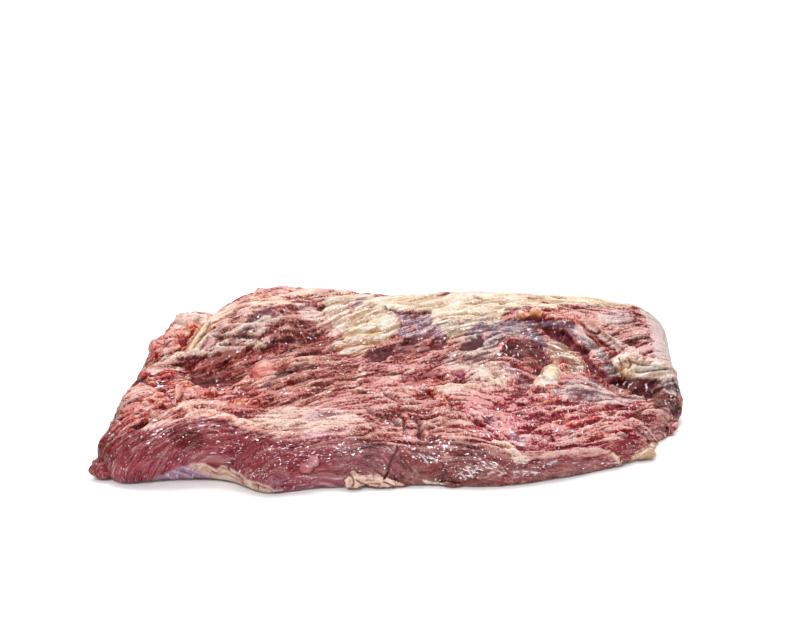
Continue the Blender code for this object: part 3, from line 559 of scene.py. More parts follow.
        ("#e8bcb8", 1.2, 1.6, "520,436 536,440 552,444 575,442"),
        ("#9c343c", 1.4, -1.6, "526,446 540,448 553,450"),
        ("#702830", 0.9, -1.8, "602,432 614,434 628,437"),
        ("#dca8a0", 1.0, 1.4, "516,402 530,398 548,396"),
        ("#8c2e36", 1.2, -1.8, "518,405 532,402 546,401"),
        ("#e4b4ac", 1.0, 1.4, "630,420 642,425 652,436"),
        ("#5c2428", 0.9, -1.8, "620,397 632,400 646,402"),
        ("#ecd0c8", 0.9, 1.4, "622,394 634,397 644,400"),
        ("#5c2428", 0.9, -1.8, "636,430 645,436 650,442"),
    ],
    "rim": [
        ("#f4d8c8", 1.2, 1.8, "493,443 508,447 517,454 522,460"),
        ("#eec8bc", 1.0, 1.4, "530,459 548,455 570,452 592,449 606,451"),
        ("#f0dcc4", 1.6, 1.4, "612,454 616,458 618,461"),
    ],
    "front_wall": [
        ("#542426", 0.9, -2.2, "399,447 392,458 388,471 384,479"),
        ("#98685e", 1.2, 1.8, "376,452 374,465 372,478"),
        ("#704044", 0.8, -1.2, "402,460 408,466 412,472"),
        ("#643436", 0.8, -1.6, "443,464 446,472 442,482"),
        ("#643436", 0.8, -1.6, "474,462 478,472 474,482"),
        ("#a88078", 0.9, 1.4, "414,470 419,474 416,478"),
        ("#a87c74", 0.9, 1.4, "480,478 484,470 492,466"),
    ],
    # Painted highlights: thin white sheens of light on the wet front wall.
    "sheen": [
        ("#fcf4ff", 0.7, 0.3, "419,454 424,459 428,463"),
        ("#fcf4ff", 0.7, 0.3, "428,456 433,458 437,462"),
        ("#fcf4ff", 0.8, 0.3, "467,467 470,473 472,477"),
        ("#fcf4ff", 0.7, 0.3, "473,472 478,468"),
        ("#f4e8f8", 0.7, 0.3, "461,473 466,478"),
        ("#fcf4ff", 0.7, 0.3, "488,474 494,472"),
        ("#fcf4ff", 0.7, 0.3, "499,475 505,472"),
        ("#fcf4ff", 0.8, 0.3, "514,472 519,472"),
        ("#fcf4ff", 0.8, 0.3, "523,471 527,471"),
        ("#fcf4ff", 0.8, 0.3, "531,472 537,472"),
        ("#f4e8f8", 0.6, 0.3, "492,467 497,464"),
        ("#f4e8f8", 0.6, 0.3, "547,464 556,461"),
    ],
    "curl": [
        ("#a8544c", 0.9, -1.6, "350,475 354,482 350,490"),
        ("#b4605a", 0.8, -1.4, "357,481 366,485 380,484"),
        ("#f6d4cc", 0.9, 1.2, "360,479 374,478 392,484"),
        ("#f2c4ba", 0.9, 1.2, "347,480 349,488 357,490"),
        ("#8c4440", 0.8, -1.4, "384,482 394,487 404,488"),
    ],
    "nodule": [
        # A painted highlight on the nodule.
        ("#f8e0e4", 0.9, 0.5, "306,465 311,463 316,459"),
    ],
    "pocket": [
        ("#6a262c", 1.1, -1.6, "508,394 516,391 524,392"),
        ("#5c2026", 1.2, -1.6, "535,363 543,361 549,363"),
    ],
    "lip": [
        ("#f8dccc", 0.9, 0.8, "190,465 199,463 204,464 210,467 217,470 222,466 227,467"),
        ("#f4d0bc", 0.9, 0.8, "231,469 236,472 243,476 248,480 254,482 262,484 269,486 273,489 282,490"),
        ("#c08c80", 0.7, -0.8, "207,470 217,474 226,472 236,478 246,483"),
    ],
    "hump_gap": [
        ("#7a5444", 0.8, -1.6, "194,350 203,336 210,324"),
        ("#7a5048", 0.8, -1.6, "200,351 210,338 221,328"),
    ],
    "low_lens": [
        ("#8c2c38", 1.3, -1.6, "560,424 578,418 596,414"),
        ("#90303c", 1.3, -1.6, "608,416 622,411 634,410"),
        ("#5c3044", 1.1, -1.6, "582,425 590,424 598,422"),
    ],
    "membrane": [
        ("#dcd0e0", 0.7, 0.4, "166,474 172,478 178,481"),
        ("#d4c8dc", 0.6, 0.3, "172,470 184,474 196,480"),
        ("#d4c8dc", 0.6, 0.3, "182,467 196,471 210,477"),
        ("#77607e", 0.7, -0.3, "176,469 190,474 202,480"),
    ],
}

# Where wet meat glints most, with painted glints in its colour and a glossy coat: middle and half sizes in
# pixels, and how densely.
GLINTS = [
    ((158, 428), (16, 9), 1.0), ((125, 450), (18, 14), 0.4), ((230, 440), (30, 12), 0.6),
    ((262, 466), (22, 14), 0.6), ((300, 456), (34, 18), 0.8), ((352, 446), (24, 12), 1.0),
    ((425, 448), (32, 14), 1.0), ((470, 466), (34, 14), 1.0), ((530, 468), (30, 10), 0.7),
    ((590, 462), (30, 7), 0.5), ((340, 425), (26, 8), 0.4), ((400, 425), (22, 12), 0.6),
    ((395, 395), (30, 12), 0.4), ((500, 434), (34, 12), 0.6), ((560, 420), (50, 16), 0.5),
    ((510, 350), (22, 7), 0.6), ((380, 340), (14, 5), 0.5), ((290, 345), (20, 14), 0.3),
    ((245, 355), (30, 16), 0.3), ((640, 388), (26, 10), 0.7), ((670, 400), (12, 18), 0.6),
    ((250, 338), (30, 10), 0.4), ((300, 395), (50, 14), 0.3), ((165, 395), (34, 16), 0.4),
    ((630, 448), (22, 8), 0.5),
]

# Single lumps: kind, colour, half length and half height in pixels, height in mm, middle in pixels.
LUMPS = {
    "lobe_1": ("fat", "#efc6ba", 12, 5.5, 4, (188, 320)),
    "lobe_2": ("torn", "#d87c60", 6, 5, 4, (194, 330)),
    "lobe_3": ("torn", "#b0544a", 6, 7, 4, (157, 350)),
    "lobe_4": ("torn", "#c88476", 6, 5, 3, (171, 343)),
    "lobe_5": ("fat", "#e6b4a6", 5, 3, 2, (203, 322)),
    "red_bit_1": ("wet", "#b41c26", 9, 2.4, 3, (168, 376)),
    "red_bit_2": ("wet", "#a8222c", 5, 2.2, 2.5, (145, 377)),
    "left_bit_1": ("torn", "#d88c7c", 7, 4.0, 2.2, (190, 395)),
    "left_bit_2": ("fat", "#e49a86", 3, 5, 3, (178, 394)),
    "left_bit_3": ("torn", "#d88c7c", 4, 2.4, 2, (160, 405)),
    "left_bit_4": ("torn", "#cc7c6c", 4, 2.4, 2, (145, 405)),
    "left_bit_5": ("torn", "#d89888", 4, 2.4, 1.4, (154, 416)),
    "left_bit_6": ("torn", "#c86c5c", 4, 2.4, 2, (166, 399)),
    "left_bit_7": ("torn", "#d0887c", 4, 2.6, 2, (214, 393)),
    "left_bit_8": ("torn", "#d89484", 4, 2.2, 1.2, (240, 406)),
    "left_bit_9": ("torn", "#7c3c38", 4, 3, 2, (255, 403)),
    "nodule_low": ("smooth", "#c07274", 7, 6.5, 3, (306, 467)),
    "nodule_high": ("smooth", "#cc8488", 6.5, 6, 3.5, (313, 461)),
    "tiny_nodule": ("fat", "#f0b090", 1.6, 1.6, 1.5, (318, 332)),
    "curled_fat_1": ("fat", "#e8c49c", 4, 4, 2, (616, 365)),
    "curled_fat_2": ("fat", "#e4c096", 5, 3, 2, (631, 363)),
    "curled_fat_3": ("fat", "#e6c298", 5, 4, 2, (627, 374)),
    "cream_lump": ("fat", "#e8cca4", 8, 7, 3.5, (550, 377)),
    "orange_lump_1": ("fat", "#f4a474", 4, 3, 3, (521, 316)),
    "orange_lump_2": ("fat", "#f4aa7c", 6, 3, 3, (535, 314)),
    "pocket_1": ("wet", "#5a1a20", 3, 2.2, -2, (360, 387)),
    "pocket_2": ("wet", "#541a1e", 4, 2.2, -2, (365, 393)),
}


def read_path(text):
    """Places in pixels, from text such as "190,349 195,341"."""
    return np.array([place.split(",") for place in text.split()], float)


def linear(hex_colour):
    """The scene-linear value of an sRGB colour such as #aabbcc."""
    parts = [int(hex_colour[k:k + 2], 16) / 255 for k in (1, 3, 5)]
    return np.array([c / 12.92 if c <= 0.04045 else ((c + 0.055) / 1.055) ** 2.4 for c in parts])


def smooth_step(low, high, x):
    t = np.clip((x - low) / (high - low), 0.0, 1.0)
    return t * t * (3 - 2 * t)


def place_turn(i, j, seed):
    """A repeatable angle for each whole-number place."""
    h = (i * 374761393 + j * 668265263 + seed * 362437) & 0xFFFFFFFF
    h = ((h ^ (h >> 13)) * 1274126177) & 0xFFFFFFFF
    h = h ^ (h >> 16)
    return h * (2 * math.pi / 2 ** 32)


def noise(x, y, seed):
    """Gradient noise, about -1 to 1, over arrays of places."""
    i, j = np.floor(x).astype(np.int64), np.floor(y).astype(np.int64)
    u, v = x - i, y - j
    corners = []
    for a, b in ((0, 0), (1, 0), (0, 1), (1, 1)):
        turn = place_turn(i + a, j + b, seed)
        corners.append(np.cos(turn) * (u - a) + np.sin(turn) * (v - b))
    su, sv = u * u * u * (u * (6 * u - 15) + 10), v * v * v * (v * (6 * v - 15) + 10)
    low = corners[0] + su * (corners[1] - corners[0])
    high = corners[2] + su * (corners[3] - corners[2])
    return 1.5 * (low + sv * (high - low))


def layered(x, y, seed, layers=3):
    """Noise with finer layers on it."""
    total, size = np.zeros_like(x), 0.0
    for k in range(layers):
        total += noise(x * 2 ** k, y * 2 ** k, seed + 17 * k) / 2 ** k
        size += 1 / 2 ** k
    return total / size


class Lattice:
    """A grid of values on the unfolded plane, read between its places."""

    def __init__(self, step=LATTICE_STEP, half=LATTICE_HALF):
        self.step, self.half = step, half
        self.x = np.arange(-half[0], half[0] + step / 2, step)
        self.y = np.arange(-half[1], half[1] + step / 2, step)
        self.places = np.stack(np.meshgrid(self.x, self.y), axis=-1)

    def read(self, values, x, y):
        i = np.clip((x + self.half[0]) / self.step, 0, len(self.x) - 1.001)
        j = np.clip((y + self.half[1]) / self.step, 0, len(self.y) - 1.001)
        i0, j0 = i.astype(int), j.astype(int)
        u, v = i - i0, j - j0
        low = values[j0, i0] * (1 - u) + values[j0, i0 + 1] * u
        high = values[j0 + 1, i0] * (1 - u) + values[j0 + 1, i0 + 1] * u
        return low * (1 - v) + high * v


def softened(values, passes):
    for _ in range(passes):
        padded = np.pad(values, 1, mode="edge")
        values = (4 * values + padded[:-2, 1:-1] + padded[2:, 1:-1]
                  + padded[1:-1, :-2] + padded[1:-1, 2:]) / 8
    return values


def refill_underside(mesh):
    """Gives the flat underside an even net of triangles, where the CAD's own run its whole length."""
    flat = {face for face in mesh.faces
            if face.normal.z < FACES_DOWN and max(v.co.z for v in face.verts) < FLAT_BELOW * MM}
    rim = [edge for edge in mesh.edges if sum(face in flat for face in edge.link_faces) == 1]
    corners = list(dict.fromkeys(v for edge in rim for v in edge.verts))
    number = {v: k for k, v in enumerate(corners)}
    edges = [tuple(number[v] for v in edge.verts) for edge in rim]
    places = np.array([v.co.xy for v in corners])
    low, high, step = places.min(0), places.max(0), NET_STEP * MM
    net = [(x, y) for x in np.arange(low[0], high[0], step) for y in np.arange(low[1], high[1], step)
           if np.hypot(*(places - (x, y)).T).min() > NET_CLEAR * step]
    bmesh.ops.delete(mesh, geom=list(flat), context="FACES")
    points = [Vector(place) for place in [*places, *net]]
    inside_only = 1
    spots, _, triangles, sources, _, _ = delaunay_2d_cdt(points, edges, [], inside_only, TINY)
    verts = {}
    for k in sorted({k for triangle in triangles for k in triangle}):
        on_rim = sources[k] and min(sources[k]) < len(corners)
        verts[k] = corners[min(sources[k])] if on_rim else mesh.verts.new((*spots[k], 0))
    for triangle in triangles:
        mesh.faces.new([verts[k] for k in reversed(triangle)])
    mesh.normal_update()


def smooth_surface(levels):
    """The CAD solid's surface, as quads where its triangles pair up, subdivided smoothly."""
    mesh = bmesh.new()
    mesh.from_mesh(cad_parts["brisket"].data)
    bmesh.ops.remove_doubles(mesh, verts=mesh.verts, dist=WELD)
    refill_underside(mesh)
    bmesh.ops.join_triangles(mesh, faces=mesh.faces, angle_face_threshold=JOIN_BEND,
                             angle_shape_threshold=JOIN_SKEW)
    data = bpy.data.meshes.new("surface")
    mesh.to_mesh(data)
    mesh.free()
    holder = bpy.data.objects.new("surface", data)
    bpy.context.scene.collection.objects.link(holder)
    modifier = holder.modifiers.new("smooth", "SUBSURF")
    modifier.levels = modifier.render_levels = levels
    graph = bpy.context.evaluated_depsgraph_get()
    smooth = bpy.data.meshes.new_from_object(holder.evaluated_get(graph))
    bpy.data.objects.remove(holder, do_unlink=True)
    bpy.data.meshes.remove(data)
    return smooth


def read_places(mesh):
    co = np.empty(len(mesh.vertices) * 3)
    mesh.vertices.foreach_get("co", co)
    return co.reshape(-1, 3) / MM


def read_normals(mesh):
    normals = np.empty(len(mesh.vertices) * 3)
    mesh.vertices.foreach_get("normal", normals)
    return normals.reshape(-1, 3)


def heights_from_above(tree, lattice):
    """The meat's height at each place of a lattice, or nan beside the meat."""
    shape = lattice.places.shape[:2]
    high = np.full(shape, np.nan)
    for j, i in np.ndindex(shape):
        x, y = lattice.places[j, i]
        hit = tree.ray_cast(Vector((x, y, OVERHEAD)), Vector((0, 0, -1)))[0]
        if hit is not None:
            high[j, i] = hit.z
    return high


def depth_inside(lattice, inside):
    """How far each place of a lattice is inside the rim, negative outside it."""
    rim = inside & ~(np.roll(inside, 1, 0) & np.roll(inside, -1, 0)
                     & np.roll(inside, 1, 1) & np.roll(inside, -1, 1))
    gaps = np.linalg.norm(lattice.places.reshape(-1, 1, 2) - lattice.places[rim], axis=2)
    return gaps.min(1).reshape(inside.shape) * np.where(inside, 1, -1)


def spread_out(high, inside):
    """The heights, carried on past the rim by what lies next to each place."""
    filled = np.where(inside, high, 0.0)
    share = inside.astype(float)
    for _ in range(SPREAD_STEPS):
        filled, share = softened(filled, 1), softened(share, 1)
        filled = np.where(inside, high, filled / np.maximum(share, TINY))
        share = np.where(inside, 1.0, np.minimum(share * SPREAD_GROWTH, 1.0))
    return filled


class Unfolding:
    """Lays the walls out flat around the plan of the upper side."""

    def __init__(self, tree):
        self.lattice = Lattice(COARSE_STEP)
        high = heights_from_above(tree, self.lattice)
        inside = ~np.isnan(high)
        depth = depth_inside(self.lattice, inside)
        self.depth = softened(depth, 3)
        dy, dx = np.gradient(softened(depth, 10), self.lattice.step)
        size = np.maximum(np.hypot(dx, dy), TINY)
        self.out_x, self.out_y = -dx / size, -dy / size
        self.high = softened(spread_out(high, inside), 2)

    def __call__(self, co):
        """Places on the unfolded plane."""
        read = self.lattice.read
        x, y, z = co[:, 0], co[:, 1], co[:, 2]
        out_x, out_y = read(self.out_x, x, y), read(self.out_y, x, y)
        depth = read(self.depth, x, y)
        inset = np.clip(RIM_INSET - depth, 0, MOST_INSET)
        rim = read(self.high, x - out_x * inset, y - out_y * inset)
        near_edge = smooth_step(RIM_INSET + RIM_BAND, RIM_INSET, depth)
        drop = np.maximum(rim - z, 0) * near_edge
        return x + out_x * drop, y + out_y * drop


def pixel_ray(px):
    """Origin and direction, in mm, of the photograph's ray through a pixel."""
    tilt = math.radians(CAMERA_TILT)
    ahead = Vector((0, math.cos(tilt), -math.sin(tilt)))
    up = Vector((0, math.sin(tilt), math.cos(tilt)))
    right = Vector((1, 0, 0))
    way = ahead * FOCAL_PX + right * (px[0] - IMAGE_PX[0] / 2) - up * (px[1] - IMAGE_PX[1] / 2)
    return Vector(CAMERA_MM), way.normalized()


def pixels_of(places, normals):
    """The photograph's pixels that places fall on, and how far their surface faces the camera."""
    tilt = math.radians(CAMERA_TILT)
    ahead = np.array([0, math.cos(tilt), -math.sin(tilt)])
    up = np.array([0, math.sin(tilt), math.cos(tilt)])
    way = places - np.array(CAMERA_MM)
    depth = way @ ahead
    across = IMAGE_PX[0] / 2 + FOCAL_PX * way[:, 0] / depth
    down = IMAGE_PX[1] / 2 - FOCAL_PX * (way @ up) / depth
    return np.stack([across, down], -1), -(normals * way).sum(1) / np.linalg.norm(way, axis=1)


def on_meat(tree, px):
    """The place on the meat that a pixel of the photograph shows, or the nearest to its ray."""
    origin, way = pixel_ray(px)
    hit = tree.ray_cast(origin, way)[0]
    if hit is None:
        ground = origin + way * (-origin.z / way.z if way.z < 0 else PAST_MEAT)
        hit = min((origin + way * t for t in np.linspace(RAY_NEAR, RAY_FAR, RAY_TRIES)),
                  key=lambda p: tree.find_nearest(p)[3])
        if (ground - hit).length < FLOOR_IS_NEAR:
            hit = ground
    return np.array(hit)


def signed_distance(places, outline):
    """Distance to a closed outline on the plane, negative inside it."""
    nearest = np.full(places.shape[:-1], np.inf)
    inside = np.zeros(places.shape[:-1], bool)
    for a, b in zip(outline, np.roll(outline, -1, 0)):
        step = b - a
        t = np.clip(((places - a) @ step) / (step @ step), 0, 1)
        gap = np.linalg.norm(places - a - t[..., None] * step, axis=-1)
        nearest = np.minimum(nearest, gap)
        crosses = (a[1] > places[..., 1]) != (b[1] > places[..., 1])
        if step[1] != 0:
            at_x = a[0] + (places[..., 1] - a[1]) * step[0] / step[1]
            inside ^= crosses & (places[..., 0] < at_x)
    return np.where(inside, -nearest, nearest)


def grain_field(lattice, tree, unfold):
    """Coordinates along and across the grain, as two fields on the lattice."""
    strokes = read_path(GRAIN).reshape(-1, 2, 2)
    starts, ends = (unfold(np.array([on_meat(tree, px) for px in strokes[:, k]])) for k in (0, 1))
    x0, y0, x1, y1 = *starts, *ends
    turn = np.arctan2(y1 - y0, x1 - x0)
    middle = np.stack([(x0 + x1) / 2, (y0 + y1) / 2], -1)
    gap = np.linalg.norm(lattice.places[:, :, None, :] - middle, axis=-1)
    weight = 1 / (gap ** 2 + GRAIN_REACH ** 2) ** 1.5
    turn = np.where(np.cos(turn) < 0, turn + math.pi, turn)
    way_x = (weight * np.cos(turn)).sum(-1)
    way_y = (weight * np.sin(turn)).sum(-1)
    size = np.hypot(way_x, way_y)
    way_x, way_y = way_x / size, way_y / size
    return fitted(lattice, way_x, way_y), fitted(lattice, -way_y, way_x)


def fitted(lattice, slope_x, slope_y):
    """The field whose slopes come closest to these, by a Fourier solution on mirrored copies."""
    wide = np.concatenate([slope_x, -slope_x[:, ::-1]], 1)
    wide_x = np.concatenate([wide, wide[::-1]], 0)
    tall = np.concatenate([slope_y, slope_y[:, ::-1]], 1)
    wide_y = np.concatenate([tall, -tall[::-1]], 0)
    kx = 2 * math.pi * np.fft.fftfreq(wide_x.shape[1], lattice.step)[None, :]
    ky = 2 * math.pi * np.fft.fftfreq(wide_x.shape[0], lattice.step)[:, None]
    power = kx ** 2 + ky ** 2
    power[0, 0] = 1
    field = np.fft.ifft2(-1j * (kx * np.fft.fft2(wide_x) + ky * np.fft.fft2(wide_y)) / power).real
    return field[: slope_x.shape[0], : slope_x.shape[1]]


class Surface:
    """What is known of each vertex: place, normal, place in the photograph and unfolded, and looks.

    under and wall say how much of the underside or a wall it is, below that it is underside, p and q its
    places along and across the grain, kind its shares of the kinds of surface, raised its height in mm, cut
    how much painted shade of the seam round a lump it lies in, and plain how much a string or a cut covers
    it.
    """

    def __init__(self, mesh):
        self.co = read_places(mesh)
        self.normal = read_normals(mesh)
        coarse = smooth_surface(TREE_LEVEL)
        self.tree = BVHTree.FromPolygons([Vector(c) for c in read_places(coarse)],
                                         [tuple(p.vertices) for p in coarse.polygons])
        bpy.data.meshes.remove(coarse)
        self.unfold = Unfolding(self.tree)
        self.x, self.y = self.unfold(self.co)
        up, height = self.normal[:, 2], self.co[:, 2]
        self.under = smooth_step(*UNDER_FACES, up) * smooth_step(*UNDER_HEIGHT, height)
        self.wall = smooth_step(*WALL_FACES, up)
        below = self.under > 0.5
        self.x = np.where(below, self.co[:, 0], self.x)
        self.y = np.where(below, self.co[:, 1], self.y)
        self.lattice = Lattice()
        along, across = grain_field(self.lattice, self.tree, self.unfold)
        self.p = self.lattice.read(along, self.x, self.y)
        self.q = self.lattice.read(across, self.x, self.y)
        self.p += UNDER_SHIFT * below
        count = len(self.co)
        self.colour = np.tile(linear(LEAN_COLOUR), (count, 1))
        self.kind = {name: np.zeros(count) for name in KINDS}
        self.kind["lean"] += 1
        self.raised = np.zeros(count)
        self.cut = np.zeros(count)
        self.plain = np.zeros(count)
        self.px, facing = pixels_of(self.co, self.normal)
        self.seen = smooth_step(*SEEN_FACES, facing)

    def lay(self, kind, colour, raise_mm, share, near=slice(None)):
        """Lays a kind of surface over what is there, on all vertices or on some."""
        self.colour[near] += (linear(colour) - self.colour[near]) * share[:, None]
        for name, held in self.kind.items():
            held[near] *= 1 - share
            if name == kind:
                held[near] += share
        self.raised[near] += raise_mm * share

    def mixed(self, feature):
        return sum(KINDS[name][feature] * share for name, share in self.kind.items())


def near_outline(surface, points, reach):
    """Numbers of the vertices that the camera sees within reach of these pixels."""
    low, high = points.min(0) - reach, points.max(0) + reach
    px = surface.px
    inside = (px[:, 0] > low[0]) & (px[:, 0] < high[0]) & (px[:, 1] > low[1]) & (px[:, 1] < high[1])
    return np.nonzero(inside & (surface.seen > 0))[0]


def paint_regions(surface):
    """Every named region of the photograph, with edges that fray along the grain."""
    p, q = surface.p, surface.q
    fray = 1.7 * layered(p / 24, q / 7, 11) + 1.1 * noise(p / 12, q / 3.4, 12)
    holes = noise(p / 15, q / 4.2, 15) + 0.5 * noise(p / 6, q / 3, 16)
    wander = np.stack([2.2 * layered(p / 14, q / 9, 13), 0.8 * layered(p / 14, q / 9, 14)], -1)
    for kind, colour, raise_mm, outline in REGIONS.values():
        points = read_path(outline)
        near = near_outline(surface, points, REGION_REACH)
        frayed = min(1.0, np.ptp(points, axis=0).min() / WIDE_REGION)
        gap = signed_distance(surface.px[near] + frayed * wander[near], points) + frayed * fray[near]
        share = smooth_step(KINDS[kind]["edge"], -KINDS[kind]["edge"], gap)
        bare = 2.4 * (1 - KINDS[kind]["cover"])
        if bare > 0:
            share *= 1 - smooth_step(0.75 - bare, 1.05 - bare, holes[near])
        surface.lay(kind, colour, raise_mm, share * surface.seen[near], near)


def swell(surface):
    for middle, half, height in SWELLINGS:
        gap = np.hypot(*((surface.px - middle) / half).T)
        surface.raised += height * smooth_step(1.5, 0.3, gap) * surface.seen


def paint_lines(surface):
    """Strings and cuts, thinner and thicker along their way."""
    thickness = 1 + 0.35 * noise(surface.x / 6, surface.y / 6, 31)
    wander = 0.9 * np.stack([noise(surface.x / 9, surface.y / 9, seed) for seed in (34, 35)], -1)
    for colour, half_width, height, way in itertools.chain(*LINES.values()):
        points = read_path(way)
        near = near_outline(surface, points, LINE_REACH)
        here = surface.px[near] + wander[near]
        gap = np.full(len(near), np.inf)
        for a, b in zip(points, points[1:]):
            step = b - a
            t = np.clip(((here - a) @ step) / (step @ step), 0, 1)
            gap = np.minimum(gap, np.linalg.norm(here - a - t[:, None] * step, axis=-1))
        share = np.exp(-((gap / (half_width * thickness[near])) ** 2)) * surface.seen[near]
        surface.colour[near] += (linear(colour) - surface.colour[near]) * (0.92 * share)[:, None]
        surface.raised[near] += height * share
        surface.plain[near] = np.maximum(surface.plain[near], share)


def paint_lumps(surface):
    """Single raised lumps, each with painted shade in the seam around its foot."""
    ragged = 0.25 * layered(surface.x / 6, surface.y / 6, 33)
    for kind, colour, half_long, half_high, height, px in LUMPS.values():
        near = near_outline(surface, np.array([px], float), 1.6 * half_long)
        gap = np.hypot((surface.px[near, 0] - px[0]) / half_long, (surface.px[near, 1] - px[1]) / half_high)
        gap += ragged[near]
        surface.lay(kind, colour, 0, smooth_step(1.0, 0.85, gap) * surface.seen[near], near)
        surface.raised[near] += height * np.sqrt(np.clip(1 - gap ** 2, 0, 1))
        # Painted shade in the seam at the foot of each raised lump.
        surface.cut[near] += 0.4 * np.exp(-(((gap - 1.1) / 0.13) ** 2)) * (height > 0)


def glint_share(surface):
    """How densely each vertex gets painted glints and coat, most in the named places, some wherever it is
    wet.
    """
    share = -0.6 + 0.6 * surface.mixed("wet")
    for middle, half, much in GLINTS:
        gap = np.hypot(*((surface.px - middle) / half).T)
        share = np.maximum(share, much * smooth_step(1.2, 0.5, gap) * surface.seen)
    return share * (1 - surface.kind["fat"]) * (1 - surface.under)


def paint_hidden_sides(surface):
    """Fat and skin on the back wall and the underside, which the photograph does not show."""
    p, q, under = surface.p, surface.q, surface.under
    behind = smooth_step(*BACK_PLACE, surface.co[:, 1]) * smooth_step(*BACK_FACES, surface.normal[:, 2])
    patchy = layered(p / 55, q / 28, 41) + 0.25 * noise(p / 9, q / 3, 42)
    swirl = layered(surface.co[:, 0] / 16, surface.co[:, 2] / 11, 44)
    fat = smooth_step(-0.06, 0.1, patchy + 0.10 + 0.35 * swirl) * behind * (1 - under)
    surface.lay("fat", "#e0c4a8", 1.6, fat)
    skin = smooth_step(0.08, 0.3, layered(p / 40, q / 16, 43) + 0.3 * swirl)
    surface.lay("skin", "#a8868c", 0.2, skin * behind * (1 - fat) * (1 - under))
    fat = smooth_step(-0.05, 0.05, patchy + 0.05) * under
    surface.lay("lean", "#9c5654", 0, under * (1 - fat))
    surface.lay("fat", "#e2c8ae", 0, fat)


def mottle(surface):
    """Patches of cream, red and dark along the grain, most of all where the meat is torn."""
    p, q, x, y = surface.p, surface.q, surface.x, surface.y
    much = surface.mixed("mottle") * (1 - 0.5 * surface.under)
    cream = smooth_step(0.15, 0.45, noise(p / 20, q / 4.5, 61) + 0.25 * noise(x / 6, y / 4, 62))
    red = smooth_step(0.1, 0.45, noise(p / 26, q / 7, 63) + 0.25 * noise(x / 7, y / 5, 64))
    brown = smooth_step(-0.1, 0.5, layered(p / 45, q / 16, 65))
    fat, skin = surface.kind["fat"] * (1 - surface.under), surface.kind["skin"]
    tan = smooth_step(0.0, 0.6, layered(p / 34, q / 9, 66) + 0.25)
    white = smooth_step(0.1, 0.6, layered(p / 26, q / 7, 67))
    plum = smooth_step(-0.1, 0.5, layered(p / 30, q / 7, 68))
    bruise = smooth_step(0.0, 0.5, layered(x / 9, y / 9, 69)) * surface.wall
    patches = (
        ("#a0604e", 0.55 * brown * surface.kind["lean"]),
        ("#a0242c", 0.75 * red * much),
        ("#ecc4ba", 0.75 * cream * much),
        ("#c49a78", 0.45 * tan * fat),
        ("#fcf0e0", 0.5 * white * fat),
        ("#7a4658", 0.45 * plum * skin),
        ("#d8c0c0", 0.4 * white * skin),
        ("#a05854", 0.6 * bruise * surface.kind["membrane"]),
    )
    for colour, share in patches:
        surface.colour += (linear(colour) - surface.colour) * share[:, None]


def relief(surface):
    """Height of the fine relief at each vertex in millimetres, and its tone, with painted shade in the
    clefts.
    """
    p, q, x, y = surface.p, surface.q, surface.x, surface.y
    grain, lump, wall = surface.mixed("grain"), surface.mixed("lump"), surface.wall
    bend = 3.6 * noise(p / 34, q / 20, 51) + 1.4 * noise(p / 13, q / 8, 50)
    across = q + bend

    def streaks(long, broad, seed):
        """Noise along the grain, of half the length and breadth on the walls."""
        upper = noise(p / long, across / broad, seed)
        return upper + (noise(p / (0.5 * long), across / (0.5 * broad), seed + 1) - upper) * wall

    bundle = noise(p / 60, across / 13, 52) + 0.5 * streaks(40, 10, 60)
    clefts = np.exp(-((bundle / 0.13) ** 2))
    strand = streaks(36, 5.4, 53)
    fibre = streaks(20, 2.6, 70)
    terrace = 5 * noise(p / 30, across / 14, 55)
    step = terrace - np.floor(terrace)
    ledge = step - smooth_step(0.75, 1.0, step)
    ragged = layered(x / 7, y / 7, 56)
    threads = np.exp(-((streaks(50, 12, 80) / 0.16) ** 2))
    threads = threads + 0.9 * np.exp(-((streaks(32, 7.5, 84) / 0.2) ** 2))
    crossed = noise(p / 5, q / 4.0, 59)
    deep = grain * (1 - 0.6 * wall)
    height = deep * (1.1 * bundle - 2.2 * clefts + 1.1 * strand + 0.9 * fibre + 1.1 * ledge
                     + 0.9 * threads)
    height += (0.08 + 0.5 * lump) * crossed
    billow = 1 - 2.2 * np.abs(layered(x / 13, y / 9, 57, 2))
    height += lump * (1.0 * billow + 0.6 * noise(x / 6, y / 5, 58) + 0.6 * ragged)
    # The tone follows the relief: paler strands, darker fibres between them, and painted shade in the sunken
    # clefts.
    tone = surface.mixed("contrast") * (0.40 * strand + 0.52 * fibre + 0.15 * bundle
                                        + 0.7 * (threads - 0.45) + (0.05 + 0.12 * lump) * crossed
                                        + 0.30 * (ledge - 0.4) - 0.6 * clefts)
    tone += 0.12 * lump * billow + surface.mixed("bias")
    return height, np.clip(0.47 + tone * (1 - 0.45 * wall), -0.2, 1.2)


def store_attribute(mesh, name, kind, values):
    layer = mesh.attributes.new(name, kind, "POINT")
    field = {"FLOAT": "value", "FLOAT_VECTOR": "vector", "FLOAT_COLOR": "color"}[kind]
    layer.data.foreach_set(field, np.ascontiguousarray(values, dtype=np.float32).ravel())


def add_piece(name, places, normals, loops, attributes, material):
    """One piece of the body, from quads given as rows of vertex numbers of the whole."""
    used, local = np.unique(loops, return_inverse=True)
    mesh = bpy.data.meshes.new(name)
    mesh.vertices.add(len(used))
    mesh.vertices.foreach_set("co", (places[used] * MM).ravel())
    mesh.loops.add(loops.size)
    mesh.loops.foreach_set("vertex_index", local.ravel())
    mesh.polygons.add(len(loops))
    mesh.polygons.foreach_set("loop_start", np.arange(0, loops.size, 4))
    mesh.update(calc_edges=True)
    for attribute, (kind, values) in attributes.items():
        store_attribute(mesh, attribute, kind, values[used])
    mesh.materials.append(material)
    mesh.shade_smooth()
    mesh.normals_split_custom_set_from_vertices(normals[used].tolist())
    body = bpy.data.objects.new(name, mesh)
    bpy.context.scene.collection.objects.link(body)
    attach(body, "root")
    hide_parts("brisket")


